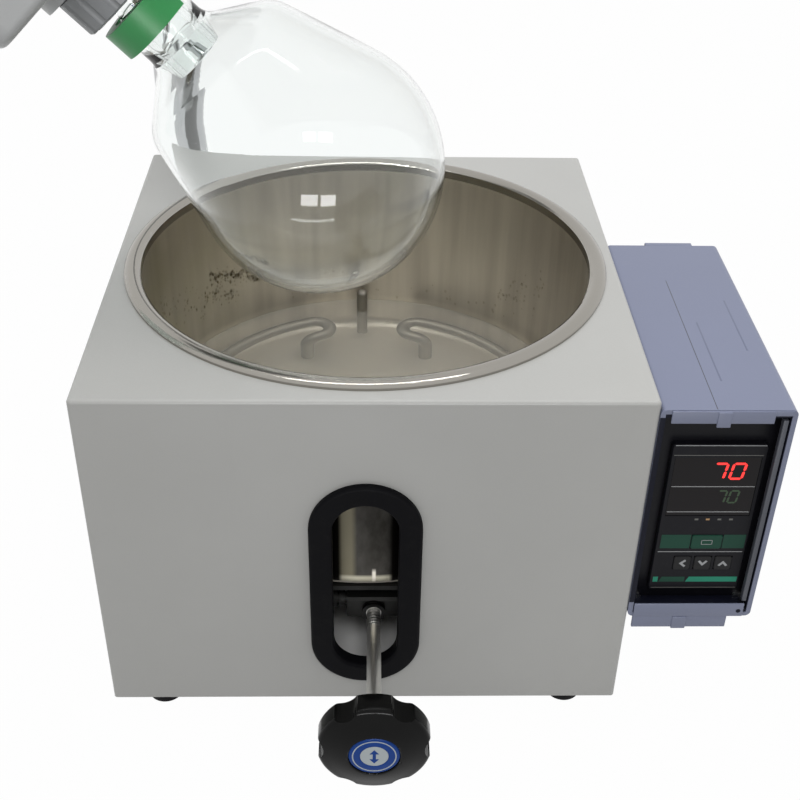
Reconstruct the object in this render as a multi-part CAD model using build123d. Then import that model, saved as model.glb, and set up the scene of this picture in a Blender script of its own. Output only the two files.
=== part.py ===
from build123d import *
import math
import os

# Rotary evaporator with a hand-lifted water bath, a tilting rotary drive on a column,
# a vertical coil condenser and a receiving flask. Millimetres, +Z up.
# Machine axes while building: X = 0 and Y = 0 are the middle and the face of the bath's
# front panel, Y runs to the back, and Z = 0 is the bottom edge of the bath housing.

# Footprint centre, which is the origin of the finished model at bench level
ORIGIN_X = -76.0
ORIGIN_Y = 158.0
BENCH_DROP = 10.0

# General fits
RUNNING_FIT = 0.05
SIDE_PLAY = 0.3
LOOSE_FIT = 0.2

# How far a cutting shape runs past the face that it opens
PAST = 1.0

# Basin, which sets the size of the bath housing around it
BASIN_R = 125.0
BASIN_T = 1.0
BASIN_SIDE = 14.0
BASIN_END = 16.5
BASIN_BOTTOM_Z = 66.0
BASIN_CORNER_R = 8.0
RIM_W = 8.0
RIM_H = 3.6
RIM_CROWN_W = 3.2
RIM_INNER_H = 1.6
RIM_LIP_H = 1.4
BASIN_HOLE_PLAY = 1.0

# Bath housing, a folded sheet with an open bottom
HOUSING_W = 2 * (BASIN_R + BASIN_T + BASIN_SIDE)
HOUSING_D = 2 * (BASIN_R + BASIN_T + BASIN_END)
HOUSING_H = 201.0
BASIN_Y = HOUSING_D / 2
SHEET_T = 1.5
BEND_R = 2.0
NOTCH_PLAY = 2.0

# Column, which stands behind the housing
COLUMN_X = -130.0
COLUMN_BEHIND = 55.0
COLUMN_Y = HOUSING_D + COLUMN_BEHIND
COLUMN_R = 14.0
COLUMN_TOP_Z = 520.0
COLUMN_EDGE = 1.5

# Base plate with a wing under the column, and its feet
PLATE_BOTTOM = -2.0
PLATE_T = 6.0
PLATE_INSET_X = 8.0
PLATE_HALF_W = HOUSING_W / 2 - PLATE_INSET_X
PLATE_FRONT_Y = 6.0
PLATE_PAST_COLUMN = 60.0
PLATE_BACK_Y = COLUMN_Y + PLATE_PAST_COLUMN
WING_GAP = 7.0
WING_FRONT_Y = HOUSING_D + WING_GAP
WING_REACH = 70.0
WING_LEFT_X = COLUMN_X - WING_REACH
PLATE_CORNER_R = 14.0
PLATE_EDGE = 0.8
FOOT_R = 11.0
FOOT_TAPER = 1.2
FOOT_EDGE = 0.8
FOOT_INSET_X = 18.5
FOOT_INSET_Y = 9.0
FOOT_X = PLATE_HALF_W - FOOT_INSET_X

# Slot for the jack screw and its rubber edge ring
SLOT_CENTRE_Z = 84.0
SLOT_W = 34.0
SLOT_H = 112.0
RING_NECK = 6.0
RING_LAND = 12.0
RING_FRONT_T = 4.0
RING_BACK_T = 2.5
RING_ROUND = 1.8
RING_BACK_INSET = 3.0

# Tubular heater and temperature probe
HEATER_TUBE_R = 4.5
HEATER_INSET = 15.5
HEATER_RING_R = BASIN_R - HEATER_INSET
HEATER_Z = 93.0
HEATER_GAP_DEG = 20.0
HOOK_R = 9.5
LEG_BEND_R = 9.0
LEG_BOTTOM_Z = 54.0
NUT_AF_R = 8.0
NUT_H = 4.4
FLOOR_CUT = 6.0
PROBE_R = 3.5
PROBE_X = -3.0
PROBE_INSET = 12.0
PROBE_BACK = BASIN_R - PROBE_INSET
PROBE_TOP_Z = 116.0
PROBE_TAIL = 5.4
PROBE_TIP_FLAT = 0.6

# Scissor jack: four arms between a pedestal, two trunnions and a top bracket
JACK_X = 4.5
JACK_LIFT = 34.0
JACK_END_GAP = 17.5
PIN_OFFSET_Y = 6.0
TRUNNION_HALF_W = 14.5
TRUNNION_HALF_D = 9.0
TRUNNION_HALF_H = 7.0
TRUNNION_EDGE = 1.5
ARM_LENGTH = BASIN_Y - PIN_OFFSET_Y - TRUNNION_HALF_D - JACK_END_GAP
ARM_HALF_H = 5.0
ARM_T = 3.0
ARM_WEB_T = 1.8
ARM_WEB_END = 27.0
LOWER_ARM_X = 16.0
UPPER_ARM_X = 20.0
SCREW_Z = 50.5
PIN_RISE = 7.0
RIVET_R = 3.0
RIVET_HEAD_T = 1.2
RIVET_HEAD_R = 4.4
OPEN_PIVOT_PLAY = 0.55
STUB_R = 3.0
SCREW_R = 3.75
SCREW_LEAD = 4.0
SCREW_BACK_GAP = 13.0
SCREW_BACK_Y = HOUSING_D - SCREW_BACK_GAP
SCREW_COLLAR_W = 2.5
SCREW_COLLAR_T = 3.0
PEDESTAL_HALF_D = 24.0
PEDESTAL_FLANGE_T = 4.0
PEDESTAL_FLANGE_W = 84.0
PEDESTAL_FLANGE_D = 76.0
PEDESTAL_CORNER_R = 8.0
EAR_CORNER = 6.0
EAR_T = 4.0
BRACKET_T = 3.0
BRACKET_FRONT_Y = 19.0
BRACKET_BACK_Y = 206.0
BRACKET_HALF_W = 60.0
CROSSBAR_D = 50.0
BRACKET_TAB_H = 14.0
BRACKET_EAR_X = 24.0
BRACKET_EAR_D = 30.0

# Star knob on the screw
KNOB_FACE_Y = -83.5
KNOB_R = 28.0
KNOB_LOBES = 6
KNOB_TURN_DEG = 10.0
KNOB_T = 16.0
KNOB_EDGE_BACK = 7.0
KNOB_EDGE_T = 2.5
KNOB_CROWN_W = 2.0
KNOB_CROWN_OUT = 6.0
KNOB_CROWN_DROP = 1.2
KNOB_RIM_IN = 2.6
KNOB_RIM_RISE = 2.8
KNOB_BACK_IN = 3.0
KNOB_BACK_Y = 12.5
KNOB_HUB_R = 11.0
KNOB_HUB_T = 7.0
KNOB_BORE_FLOOR = 3.0
KNOB_TIP_ROUND = 3.0
SCALLOP_R = 11.5
SCALLOP_CENTRE = 34.0
CAP_R = 12.5
CAP_T = 1.6
CAP_ROUND = 0.5

# Control box: two extruded halves that interlock, screwed to the side of the housing
CASE_W = 66.0
CASE_SEAM = 27.0
CASE_BOTTOM_Z = 62.0
CASE_TOP_Z = 196.5
CASE_D = 168.0
CASE_T = 2.5
CASE_ROUND = 3.0
SEAM_OVERLAP = 7.0
SEAM_RIB_H = 1.6
BOSS_R = 3.6
BOSS_SINK = 0.8
BOSS_HOLE_R = 1.5
CASE_SCREW_R = 1.4
CASE_SCREW_HEAD_R = 2.8
CASE_SCREW_HEAD_T = 1.6
CASE_SCREW_L = 12.0
BEZEL_Y = 10.7
BEZEL_T = 2.5
REAR_PLATE_T = 2.0
REAR_PLATE_INSET = 2.0

# Temperature controller, a vertical 48 by 96 panel instrument
FACE_W = 48.0
FACE_H = 96.0
FACE_FROM_LEFT = 34.5
FACE_BOTTOM_Z = 75.0
FACE_T = 4.0
FACE_ROUND = 2.0
FACE_EDGE = 0.6
CONTROLLER_BODY_W = 44.5
CONTROLLER_BODY_H = 91.0
CONTROLLER_BODY_D = 82.0
VENTS = 4
VENT_PITCH = 16.0
VENT_H = 5.0
VENT_DEPTH = 1.0
VENT_FRONT = 24.0
VENT_BACK = 16.0
WINDOW_W = 43.0
WINDOW_H = 37.0
WINDOW_TOP_DROP = 8.0
WINDOW_T = 1.2
WINDOW_SINK = 0.3
KEY_T = 2.0
KEY_ROUND = 1.2
KEY_EDGE = 0.3
KEY_PROUD = 0.6
KEY_TRAVEL = 0.5
SET_KEY_W = 16.0
SET_KEY_H = 9.0
SET_KEY_RISE = 33.5
ARROW_KEY_W = 9.0
ARROW_KEY_H = 9.0
ARROW_KEY_RISE = 19.0
ARROW_KEY_PITCH = 10.8
KEY_SHIFT_X = 2.4

# Mains inlet and rocker switch on the control box's rear plate
INLET_W = 27.0
INLET_H = 20.0
INLET_D = 14.0
INLET_EAR_W = 5.0
INLET_RIM = 2.0
INLET_FLANGE_T = 2.5
INLET_FLOOR = 2.0
PIN_W = 2.0
PIN_H = 4.4
PIN_SINK = 1.0
PIN_PLACES = ((-7.0, -2.0), (7.0, -2.0), (0.0, 3.0))
INLET_Z = 92.0
PIN_CAVITY_W = 21.0
PIN_CAVITY_H = 14.0
SWITCH_W = 13.0
SWITCH_H = 19.5
SWITCH_Z = 150.0
SWITCH_RIM = 2.0
SWITCH_FLANGE_T = 1.6
SWITCH_D = 13.0
SWITCH_WELL_D = 9.0
ROCKER_PLAY = 0.25
ROCKER_PROUD = 3.0
ROCKER_DIP = 1.6
ROCKER_SHOULDER = 2.0
ROCKER_BACK = 6.0
ROCKER_BACK_HALF = 4.0
ROCKER_WALL = 1.2
ROCKER_PIVOT_R = 1.5
ROCKER_PIVOT_DROP = 2.0

# Column flange and carriage
FLANGE_R = 40.0
FLANGE_H = 12.0
FLANGE_NECK_R = 22.0
FLANGE_NECK_H = 34.0
FLANGE_EDGE = 3.0
FLANGE_COVE_W = 5.0
FLANGE_COVE_LOW = 2.0
FLANGE_COVE_HIGH = 8.0
FLANGE_DRAFT = 1.0
CARRIAGE_W = 62.0
CARRIAGE_D = 64.0
CARRIAGE_H = 60.0
CARRIAGE_ROUND = 8.0
CARRIAGE_EDGE = 1.5
CLAMP_SLIT = 3.0
ARM_BAR_R = 17.0
DISC_R = 38.0
DISC_T = 9.0
SPIGOT_R = 8.0
SPIGOT_L = 16.0
LOCK_STUD_R = 4.0
LOCK_KNOB_R = 17.0
LOCK_KNOB_T = 14.0
LOCK_STUD_BACK = 22.0
LOCK_STUD_WALL = 8.0
LOCK_STUD_SHORT = 10.0
TILT_KNOB_R = 11.0
TILT_KNOB_T = 13.0
TILT_KNOB_OUT = 29.5
TILT_STUD_R = 3.0
GRIP_LOBES = 8
GRIP_DEPTH = 2.0
GRIP_NECK_H = 4.0
GRIP_NECK_SHARE = 0.55
GRIP_EDGE = 1.0
SCALLOP_SHARE = 0.55

# Rotor axis: the flask centre and the tilt of the shaft above the horizontal
FLASK_X = -25.0
FLASK_Y = 118.0
FLASK_Z = 267.0
SHAFT_TILT_DEG = 45.0

# Evaporating flask and vapour tube, measured along the shaft from the flask centre
FLASK_R = 65.5
GLASS_T = 2.0
FLASK_NECK_R = 17.5
FLASK_NECK_END = 112.0
FLASK_NECK_BLEND = 9.0

# The flask is pear shaped: a ball, a cone that touches it, a rounded shoulder
FLASK_CONE_DEG = 17.5
FLASK_NECK_L = 20.0
FLASK_SHOULDER_L = 20.0
FLASK_SHOULDER_ROUND = 20.0
SOCKET_STEP = 0.5

FLASK_LIP_R = 19.5
FLASK_LIP_T = 5.0
CONE_R_IN = 13.6
CONE_R_OUT = 15.2
CONE_START = 80.0
CONE_FIT = 0.08
TUBE_R = 12.0
TUBE_BORE_R = 9.5
TUBE_COLLAR_R = 19.5
TUBE_COLLAR_T = 4.0
TUBE_COLLAR_EASE = 3.0
TUBE_END = 276.0
CLIP_R = 23.0
CLIP_T = 14.0
CLIP_OPEN_DEG = 70.0
CLIP_LIP = 1.0
CLIP_TUBE_GAP = 4.0

# Drive head, in the shaft's own frame
CHUCK_START = 124.0
CHUCK_END = 143.0
CHUCK_R = 27.0
CHUCK_RIBS = 16
CHUCK_RIB_DEPTH = 1.2
CHUCK_EDGE = 1.0
SHAFT_START = 134.0
SHAFT_END = 246.0
SHAFT_R = 18.0
SHAFT_CLEAR = 1.0
SHOULDER_R = 20.0
SHOULDER_GAP = 0.5
SHOULDER_L = 3.5
HEAD_START = 150.0
HEAD_END = 240.0
HEAD_HALF_W = 50.0
HEAD_LOW = 50.0
HEAD_HIGH = 92.0
HEAD_WALL = 3.0
HEAD_ROUND = 16.0
HEAD_NOSE_R = 33.0
HEAD_NOSE_T = 6.0
HEAD_FRONT_ROUND = 5.0
COVER_T = 4.0
COVER_EDGE = 1.2
BEARING_R = 28.0
BEARING_W = 12.0
BEARING_SEAT_WALL = 4.0
BEARING_RACE_W = 3.0
BEARING_GROOVE = 1.0
BEARING_FRONT = 156.0
BEARING_BACK = 223.0
GEAR_MODULE = 1.5
GEAR_TEETH = 60
PINION_TEETH = 18
GEAR_START = 205.0
GEAR_W = 10.0
TOOTH_BACKLASH = 0.06
TOOTH_TIP = 0.9
TOOTH_ROOT = 1.2
ROOT_SHARE = 0.34
TIP_SHARE = 0.45
PINION_PILOT_R = 0.5
PINION_COLLAR_STEP = 4.0
MOTOR_R = 26.0
MOTOR_START = 157.0
MOTOR_END = 201.0
MOTOR_SHAFT_R = 4.0
MOTOR_NOSE_L = 6.0
MOTOR_NOSE_STEP = 8.0
MOTOR_BORE_L = 14.0
MOTOR_SHAFT_IN = 12.0
TILT_PIVOT_UP = 40.0
PIVOT_BOSS_R = 14.0
BOSS_FLOOR = 2.0
SPEED_KNOB_R = 12.0
SPEED_KNOB_T = 13.0
SPEED_KNOB_UP = 60.0
SPEED_KNOB_ALONG = 212.0
SPEED_STEM_R = 3.0
SEAL_R = 24.0
SEAL_T = 4.0
SEAL_LIP = 3.0

# Condenser, receiving flask and their joints
CONDENSER_X = -292.0
CONDENSER_R = 38.0
CONDENSER_T = 2.4
CONDENSER_BOTTOM_Z = 468.0
CONDENSER_TOP_Z = 722.0
CONDENSER_DOME_H = 16.0
DOME_SHOULDER = 10.0
DOME_SHOULDER_DROP = 3.0
DOME_FLAT = 22.0
FUNNEL_TOP = 12.0
FUNNEL_LOW = 6.0
FUNNEL_BOTTOM = 22.0
FUNNEL_STEP = 12.0
BORE_PAST = 20.0
ARM_BORE_PAST = 5.0
BALL_FLAT = 5.0
ARM_TUBE_R = 19.0
ARM_TUBE_START = 252.0
ARM_FLANGE_R = 24.0
ARM_FLANGE_T = 4.0
UNION_NUT_R = 31.0
UNION_NUT_WALL = 4.0
UNION_NUT_RIBS = 12
UNION_NUT_RIB_DEPTH = 1.4
UNION_NUT_OVERLAP = 2.0
UNION_NUT_BACK = 4.0
OUTLET_R = 10.0
OUTLET_BOTTOM_Z = 398.0
BALL_R = 17.0
COIL_R = 23.0
COIL_TUBE_R = 3.2
COIL_BOTTOM_Z = 548.0
COIL_PITCH = 15.0
COIL_TURNS = 9
COIL_TOP_REACH = 26.0
HOSE_R = 4.5
HOSE_BORE_R = 2.6
HOSE_L = 16.0
HOSE_ROOT_R = 3.8
HOSE_ROOT_L = 4.0
COIL_BORE_R = 2.2
HOSE_ROOT_SINK = 6.0
FEED_STEM_SINK = 4.0
FEED_STEM_OVER = 14.0
VACUUM_PORT_Z = 700.0
STOPCOCK_ALONG = 300.0
STOPCOCK_BARREL_R = 8.0
STOPCOCK_BARREL_L = 22.0
STOPCOCK_STEM_L = 16.0
PLUG_R = 4.0
PLUG_HANDLE_W = 26.0
PLUG_HANDLE_T = 5.0
PLUG_COLLAR_W = 2.5
PLUG_COLLAR_L = 3.0
PLUG_END = 1.0
PLUG_HOLE_SHARE = 0.6
PLUG_HANDLE_ROUND = 2.0
RECEIVER_NECK_R = 14.0
RECEIVER_Z = 290.0
CUP_R = 17.3
CUP_OUT_R = 20.0
CUP_DROP = 12.0
CUP_RIM_DROP = 4.0
CUP_BORE_L = 18.0
BALL_CLAMP_R = 25.0
BALL_CLAMP_T = 3.0
CLAMP_DROP = 10.0
CLAMP_RISE = 12.0
CLAMP_GRIP_DEPTH = 4.0
CLAMP_POST_OUT = 1.0
CLAMP_POST_R = 3.0
CLAMP_KNOB_R = 6.0
CLAMP_KNOB_H = 5.0
CLAMP_STRUT_IN = 1.5
CLAMP_STRUT_R = 2.0

# Places that follow from the sizes above
PLATE_TOP = PLATE_BOTTOM + PLATE_T
CASE_LEFT_X = HOUSING_W / 2
CASE_RIGHT_X = CASE_LEFT_X + CASE_W
CASE_SEAM_X = CASE_LEFT_X + CASE_SEAM
FACE_CENTRE_X = CASE_LEFT_X + FACE_FROM_LEFT
RISE_MAX = PIN_RISE + JACK_LIFT / 2
ARM_ANGLE = math.degrees(math.asin(PIN_RISE / ARM_LENGTH))
REACH_REST = ARM_LENGTH * math.cos(math.radians(ARM_ANGLE))
TRUNNION_OFFSET = PIN_OFFSET_Y + REACH_REST
LOWER_PIN_Z = SCREW_Z - PIN_RISE
UPPER_PIN_Z = SCREW_Z + PIN_RISE
RIM_Z = HOUSING_H
SHAFT_PLANE = Plane(
    origin=(FLASK_X, FLASK_Y, FLASK_Z),
    x_dir=(math.sin(math.radians(SHAFT_TILT_DEG)), 0, math.cos(math.radians(SHAFT_TILT_DEG))),
    z_dir=(-math.cos(math.radians(SHAFT_TILT_DEG)), 0, math.sin(math.radians(SHAFT_TILT_DEG))),
)
GEAR_CENTRES = GEAR_MODULE * (GEAR_TEETH + PINION_TEETH) / 2
BORE_R = TUBE_R + CONE_FIT


def along_shaft(shape):
    """Place a shape that was built on the Z axis onto the tilted shaft axis."""
    return SHAFT_PLANE.location * shape


def shaft_point(up, side, along):
    """Machine position of a point given in the shaft's own frame."""
    return SHAFT_PLANE.from_local_coords(Vector(up, side, along))


PIVOT_ALONG = TILT_PIVOT_UP + (FLASK_X - COLUMN_X) / math.cos(math.radians(SHAFT_TILT_DEG))
PIVOT = shaft_point(TILT_PIVOT_UP, 0, PIVOT_ALONG)
HEAD_BACK_Y = FLASK_Y + HEAD_HALF_W
ARM_MEETS_CONDENSER = (FLASK_X - CONDENSER_X) / math.cos(math.radians(SHAFT_TILT_DEG))
CONDENSER_ARM_Z = shaft_point(0, 0, ARM_MEETS_CONDENSER).Z


def rod(radius, start, end, bore=0.0):
    """Cylinder or tube on the Z axis between two heights."""
    body = Pos(0, 0, (start + end) / 2) * Cylinder(radius, end - start)
    if bore > 0:
        body -= Pos(0, 0, (start + end) / 2) * Cylinder(bore, end - start + 2)
    return body


def rod_y(radius, x, z, front, back):
    """Cylinder along Y between two depths."""
    return Pos(x, (front + back) / 2, z) * Rot(90, 0, 0) * Cylinder(radius, back - front)


def rod_x(radius, y, z, left, right):
    """Cylinder along X between two sides."""
    return Pos((left + right) / 2, y, z) * Rot(0, 90, 0) * Cylinder(radius, right - left)


def block(x0, x1, y0, y1, z0, z1):
    """Box between two corners."""
    return Pos((x0 + x1) / 2, (y0 + y1) / 2, (z0 + z1) / 2) * Box(x1 - x0, y1 - y0, z1 - z0)


def turned(points, close=True):
    """Revolve a radius and height outline about the Z axis."""
    outline = make_face(Polyline([(r, 0, z) for r, z in points], close=close))
    return revolve(outline, axis=Axis.Z, revolution_arc=360)


def obround(width, height):
    """Upright slot outline in the front panel's plane."""
    plane = Plane(origin=(0, 0, SLOT_CENTRE_Z), x_dir=(1, 0, 0), z_dir=(0, -1, 0))
    return plane * SlotOverall(height, width, rotation=90)


def lobed_disc(radius, lobes, depth, thickness):
    """Grip disc on the Z axis with shallow scallops around its edge, base at Z = 0."""
    outline = Circle(radius)
    scallop = math.pi * radius / lobes * SCALLOP_SHARE
    reach = radius - depth + scallop
    for place in PolarLocations(reach, lobes):
        outline -= place * Circle(scallop)
    return extrude(outline, thickness)


def base_plate():
    front = block(-PLATE_HALF_W, PLATE_HALF_W, PLATE_FRONT_Y, PLATE_BACK_Y, PLATE_BOTTOM, PLATE_TOP)
    wing = block(WING_LEFT_X, PLATE_HALF_W, WING_FRONT_Y, PLATE_BACK_Y, PLATE_BOTTOM, PLATE_TOP)
    plate = front + wing
    corners = plate.edges().filter_by(Axis.Z)
    plate = fillet(corners, PLATE_CORNER_R)
    return chamfer(plate.faces().sort_by(Axis.Z)[-1].edges(), PLATE_EDGE)


def foot_places():
    front_y = PLATE_FRONT_Y + FOOT_INSET_Y
    back_y = PLATE_BACK_Y - FOOT_INSET_X
    return [
        (-FOOT_X, front_y),
        (FOOT_X, front_y),
        (WING_LEFT_X + FOOT_INSET_X, back_y),
        (FOOT_X, back_y),
    ]


def rubber_feet():
    height = BENCH_DROP + PLATE_BOTTOM
    foot = Cone(FOOT_R - FOOT_TAPER, FOOT_R, height)
    foot = fillet(foot.faces().sort_by(Axis.Z)[0].edges(), FOOT_EDGE)
    middle = PLATE_BOTTOM - height / 2
    return Compound(children=[Pos(x, y, middle) * foot for x, y in foot_places()])


def column():
    tube = Pos(COLUMN_X, COLUMN_Y, 0) * rod(COLUMN_R, PLATE_TOP, COLUMN_TOP_Z)
    return chamfer(tube.faces().sort_by(Axis.Z)[-1].edges(), COLUMN_EDGE)


def column_flange():
    bore = COLUMN_R + RUNNING_FIT
    profile = [
        (bore, 0),
        (FLANGE_R, 0),
        (FLANGE_R, FLANGE_H - FLANGE_EDGE),
        (FLANGE_R - FLANGE_EDGE, FLANGE_H),
        (FLANGE_NECK_R + FLANGE_COVE_W, FLANGE_H + FLANGE_COVE_LOW),
        (FLANGE_NECK_R, FLANGE_H + FLANGE_COVE_HIGH),
        (FLANGE_NECK_R - FLANGE_DRAFT, FLANGE_NECK_H),
        (bore, FLANGE_NECK_H),
    ]
    return Pos(COLUMN_X, COLUMN_Y, PLATE_TOP) * turned(profile)


def jack_pedestal():
    low = PLATE_TOP
    flange = block(
        JACK_X - PEDESTAL_FLANGE_W / 2,
        JACK_X + PEDESTAL_FLANGE_W / 2,
        BASIN_Y - PEDESTAL_FLANGE_D / 2,
        BASIN_Y + PEDESTAL_FLANGE_D / 2,
        low,
        low + PEDESTAL_FLANGE_T,
    )
    flange = fillet(flange.edges().filter_by(Axis.Z), PEDESTAL_CORNER_R)
    half_w = LOWER_ARM_X - SIDE_PLAY
    top = LOWER_PIN_Z + ARM_HALF_H
    post = block(
        JACK_X - half_w,
        JACK_X + half_w,
        BASIN_Y - PEDESTAL_HALF_D,
        BASIN_Y + PEDESTAL_HALF_D,
        low + PEDESTAL_FLANGE_T,
        top,
    )
    side = half_w - EAR_T
    channel = block(
        JACK_X - side,
        JACK_X + side,
        BASIN_Y - PEDESTAL_HALF_D,
        BASIN_Y + PEDESTAL_HALF_D,
        low + PEDESTAL_FLANGE_T + EAR_T,
        top,
    )
    post = post - channel
    post = chamfer(post.edges().filter_by(Axis.X).group_by(Axis.Z)[-1], EAR_CORNER)
    pedestal = flange + post
    for y in (BASIN_Y - PIN_OFFSET_Y, BASIN_Y + PIN_OFFSET_Y):
        pedestal -= rod_x(RIVET_R, y, LOWER_PIN_Z, JACK_X - half_w - PAST, JACK_X + half_w + PAST)
    return pedestal


def rivet(y, z, inner, outer, side):
    """Flat-headed rivet along X on one side of the jack, from inner to outer offset."""
    ends = sorted((JACK_X + side * inner, JACK_X + side * outer))
    heads = sorted((JACK_X + side * outer, JACK_X + side * (outer + RIVET_HEAD_T)))
    return rod_x(RIVET_R, y, z, *ends) + rod_x(RIVET_HEAD_R, y, z, *heads)


def rivet_set(z, inner, outer):
    """Four rivets, two on each side of the jack's middle."""
    rivets = []
    for side in (-1, 1):
        for y in (BASIN_Y - PIN_OFFSET_Y, BASIN_Y + PIN_OFFSET_Y):
            rivets.append(rivet(y, z, inner, outer, side))
    return Compound(children=rivets)


def lower_rivets():
    inner = LOWER_ARM_X - SIDE_PLAY - EAR_T
    return rivet_set(LOWER_PIN_Z, inner, LOWER_ARM_X + ARM_T + SIDE_PLAY)


def upper_rivets():
    outer = BRACKET_EAR_X + ARM_T
    return rivet_set(UPPER_PIN_Z, UPPER_ARM_X - SIDE_PLAY, outer)


def jack_arm(front, lower):
    """Channel-section arm with its far end on the trunnion and its near end on a rivet."""
    inner = LOWER_ARM_X if lower else UPPER_ARM_X
    outline = SlotCenterToCenter(ARM_LENGTH, 2 * ARM_HALF_H)
    near = Pos(ARM_LENGTH / 2, 0) * Circle(RIVET_R + RUNNING_FIT)
    far = Pos(-ARM_LENGTH / 2, 0) * Circle(STUB_R + OPEN_PIVOT_PLAY)
    sheet = extrude(outline - near - far, ARM_T)
    # The web joins the two side plates on the side away from the screw.
    away = -1 if lower else 1
    web_mid = away * (ARM_HALF_H - ARM_WEB_T / 2)
    web_l = ARM_LENGTH - 2 * ARM_WEB_END
    web = Pos(0, web_mid, -inner) * Box(web_l, ARM_WEB_T, 2 * inner)
    arm = sheet + Pos(0, 0, -2 * inner - ARM_T) * sheet + web
    # Local X runs from the trunnion to the rivet, local Y is up and local Z is sideways.
    pitch = ARM_ANGLE if not lower else -ARM_ANGLE
    pin_z = LOWER_PIN_Z if lower else UPPER_PIN_Z
    direction = 1 if front else -1
    along = Vector(0, direction * math.cos(math.radians(pitch)), math.sin(math.radians(pitch)))
    pin_y = BASIN_Y - direction * PIN_OFFSET_Y
    middle = Vector(JACK_X, pin_y, pin_z) - along * (ARM_LENGTH / 2)
    sideways = Vector(direction, 0, 0)
    plane = Plane(origin=middle, x_dir=along, z_dir=sideways)
    return plane.location * Pos(0, 0, inner) * arm


def trunnion(front):
    """Block that carries the screw, with a stub axle on each side for the arms."""
    y = BASIN_Y - TRUNNION_OFFSET if front else BASIN_Y + TRUNNION_OFFSET
    core = block(
        JACK_X - TRUNNION_HALF_W,
        JACK_X + TRUNNION_HALF_W,
        y - TRUNNION_HALF_D,
        y + TRUNNION_HALF_D,
        SCREW_Z - TRUNNION_HALF_H,
        SCREW_Z + TRUNNION_HALF_H,
    )
    core = chamfer(core.edges().filter_by(Axis.X), TRUNNION_EDGE)
    reach = UPPER_ARM_X + ARM_T + SIDE_PLAY
    core += rod_x(STUB_R, y, SCREW_Z, JACK_X - reach, JACK_X + reach)
    for side in (-1, 1):
        cap = sorted((JACK_X + side * reach, JACK_X + side * (reach + RIVET_HEAD_T)))
        core += rod_x(RIVET_HEAD_R, y, SCREW_Z, *cap)
    past = TRUNNION_HALF_D + PAST
    core -= rod_y(SCREW_R + RUNNING_FIT, JACK_X, SCREW_Z, y - past, y + past)
    return core


def jack_screw():
    front_face = BASIN_Y - TRUNNION_OFFSET - TRUNNION_HALF_D
    back_face = front_face + 2 * TRUNNION_HALF_D
    front_y = KNOB_FACE_Y + CAP_T + KNOB_BORE_FLOOR
    shaft = rod_y(SCREW_R, JACK_X, SCREW_Z, front_y, SCREW_BACK_Y)
    collar_r = SCREW_R + SCREW_COLLAR_W
    front_end = front_face - SIDE_PLAY
    back_end = back_face + SIDE_PLAY
    shaft += rod_y(collar_r, JACK_X, SCREW_Z, front_end - SCREW_COLLAR_T, front_end)
    shaft += rod_y(collar_r, JACK_X, SCREW_Z, back_end, back_end + SCREW_COLLAR_T)
    return shaft


def knob_plane():
    return Plane(origin=(JACK_X, KNOB_FACE_Y, SCREW_Z), x_dir=(1, 0, 0), z_dir=(0, -1, 0))


def star_knob():
    outline = Circle(KNOB_R)
    for place in PolarLocations(SCALLOP_CENTRE, KNOB_LOBES, start_angle=KNOB_TURN_DEG):
        outline -= place * Circle(SCALLOP_R)
    outline = fillet(outline.vertices(), KNOB_TIP_ROUND)
    star = Pos(0, 0, -KNOB_T) * extrude(outline, KNOB_T)
    crown = turned(
        [
            (0, 0),
            (CAP_R + KNOB_CROWN_W, 0),
            (CAP_R + KNOB_CROWN_OUT, -KNOB_CROWN_DROP),
            (KNOB_R - KNOB_RIM_IN, KNOB_RIM_RISE - KNOB_EDGE_BACK),
            (KNOB_R, -KNOB_EDGE_BACK),
            (KNOB_R, -KNOB_EDGE_BACK - KNOB_EDGE_T),
            (KNOB_R - KNOB_BACK_IN, -KNOB_BACK_Y),
            (KNOB_HUB_R + KNOB_BACK_IN, -KNOB_T),
            (0, -KNOB_T),
        ]
    )
    star = star & crown
    star += rod(KNOB_HUB_R, -KNOB_T - KNOB_HUB_T, -KNOB_T)
    star -= rod(CAP_R + LOOSE_FIT, -CAP_T, PAST)
    bore_front = -CAP_T - KNOB_BORE_FLOOR
    star -= rod(SCREW_R, -KNOB_T - KNOB_HUB_T - PAST, bore_front)
    return knob_plane().location * star


def knob_cap():
    cap = rod(CAP_R, -CAP_T, 0)
    cap = fillet(cap.faces().sort_by(Axis.Z)[-1].edges(), CAP_ROUND)
    return knob_plane().location * cap


def bath_housing():
    shell = block(-HOUSING_W / 2, HOUSING_W / 2, 0, HOUSING_D, 0, HOUSING_H)
    bends = shell.edges().filter_by(Axis.Z) + shell.edges().group_by(Axis.Z)[-1]
    shell = fillet(bends, BEND_R)
    inner_w = HOUSING_W / 2 - SHEET_T
    shell -= block(-inner_w, inner_w, SHEET_T, HOUSING_D - SHEET_T, -PAST, HOUSING_H - SHEET_T)
    hole_r = BASIN_R + BASIN_T + BASIN_HOLE_PLAY
    shell -= Pos(0, BASIN_Y, HOUSING_H) * Cylinder(hole_r, 4 * SHEET_T)
    neck_w = SLOT_W + 2 * RING_NECK + 2 * LOOSE_FIT
    neck_h = SLOT_H + 2 * RING_NECK + 2 * LOOSE_FIT
    shell -= Pos(0, SHEET_T + PAST, 0) * extrude(obround(neck_w, neck_h), SHEET_T + 2 * PAST)
    notch = PLATE_HALF_W + NOTCH_PLAY
    top = PLATE_TOP + NOTCH_PLAY
    shell -= block(-notch, notch, HOUSING_D - SHEET_T - PAST, HOUSING_D + PAST, -PAST, top)
    return shell


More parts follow.
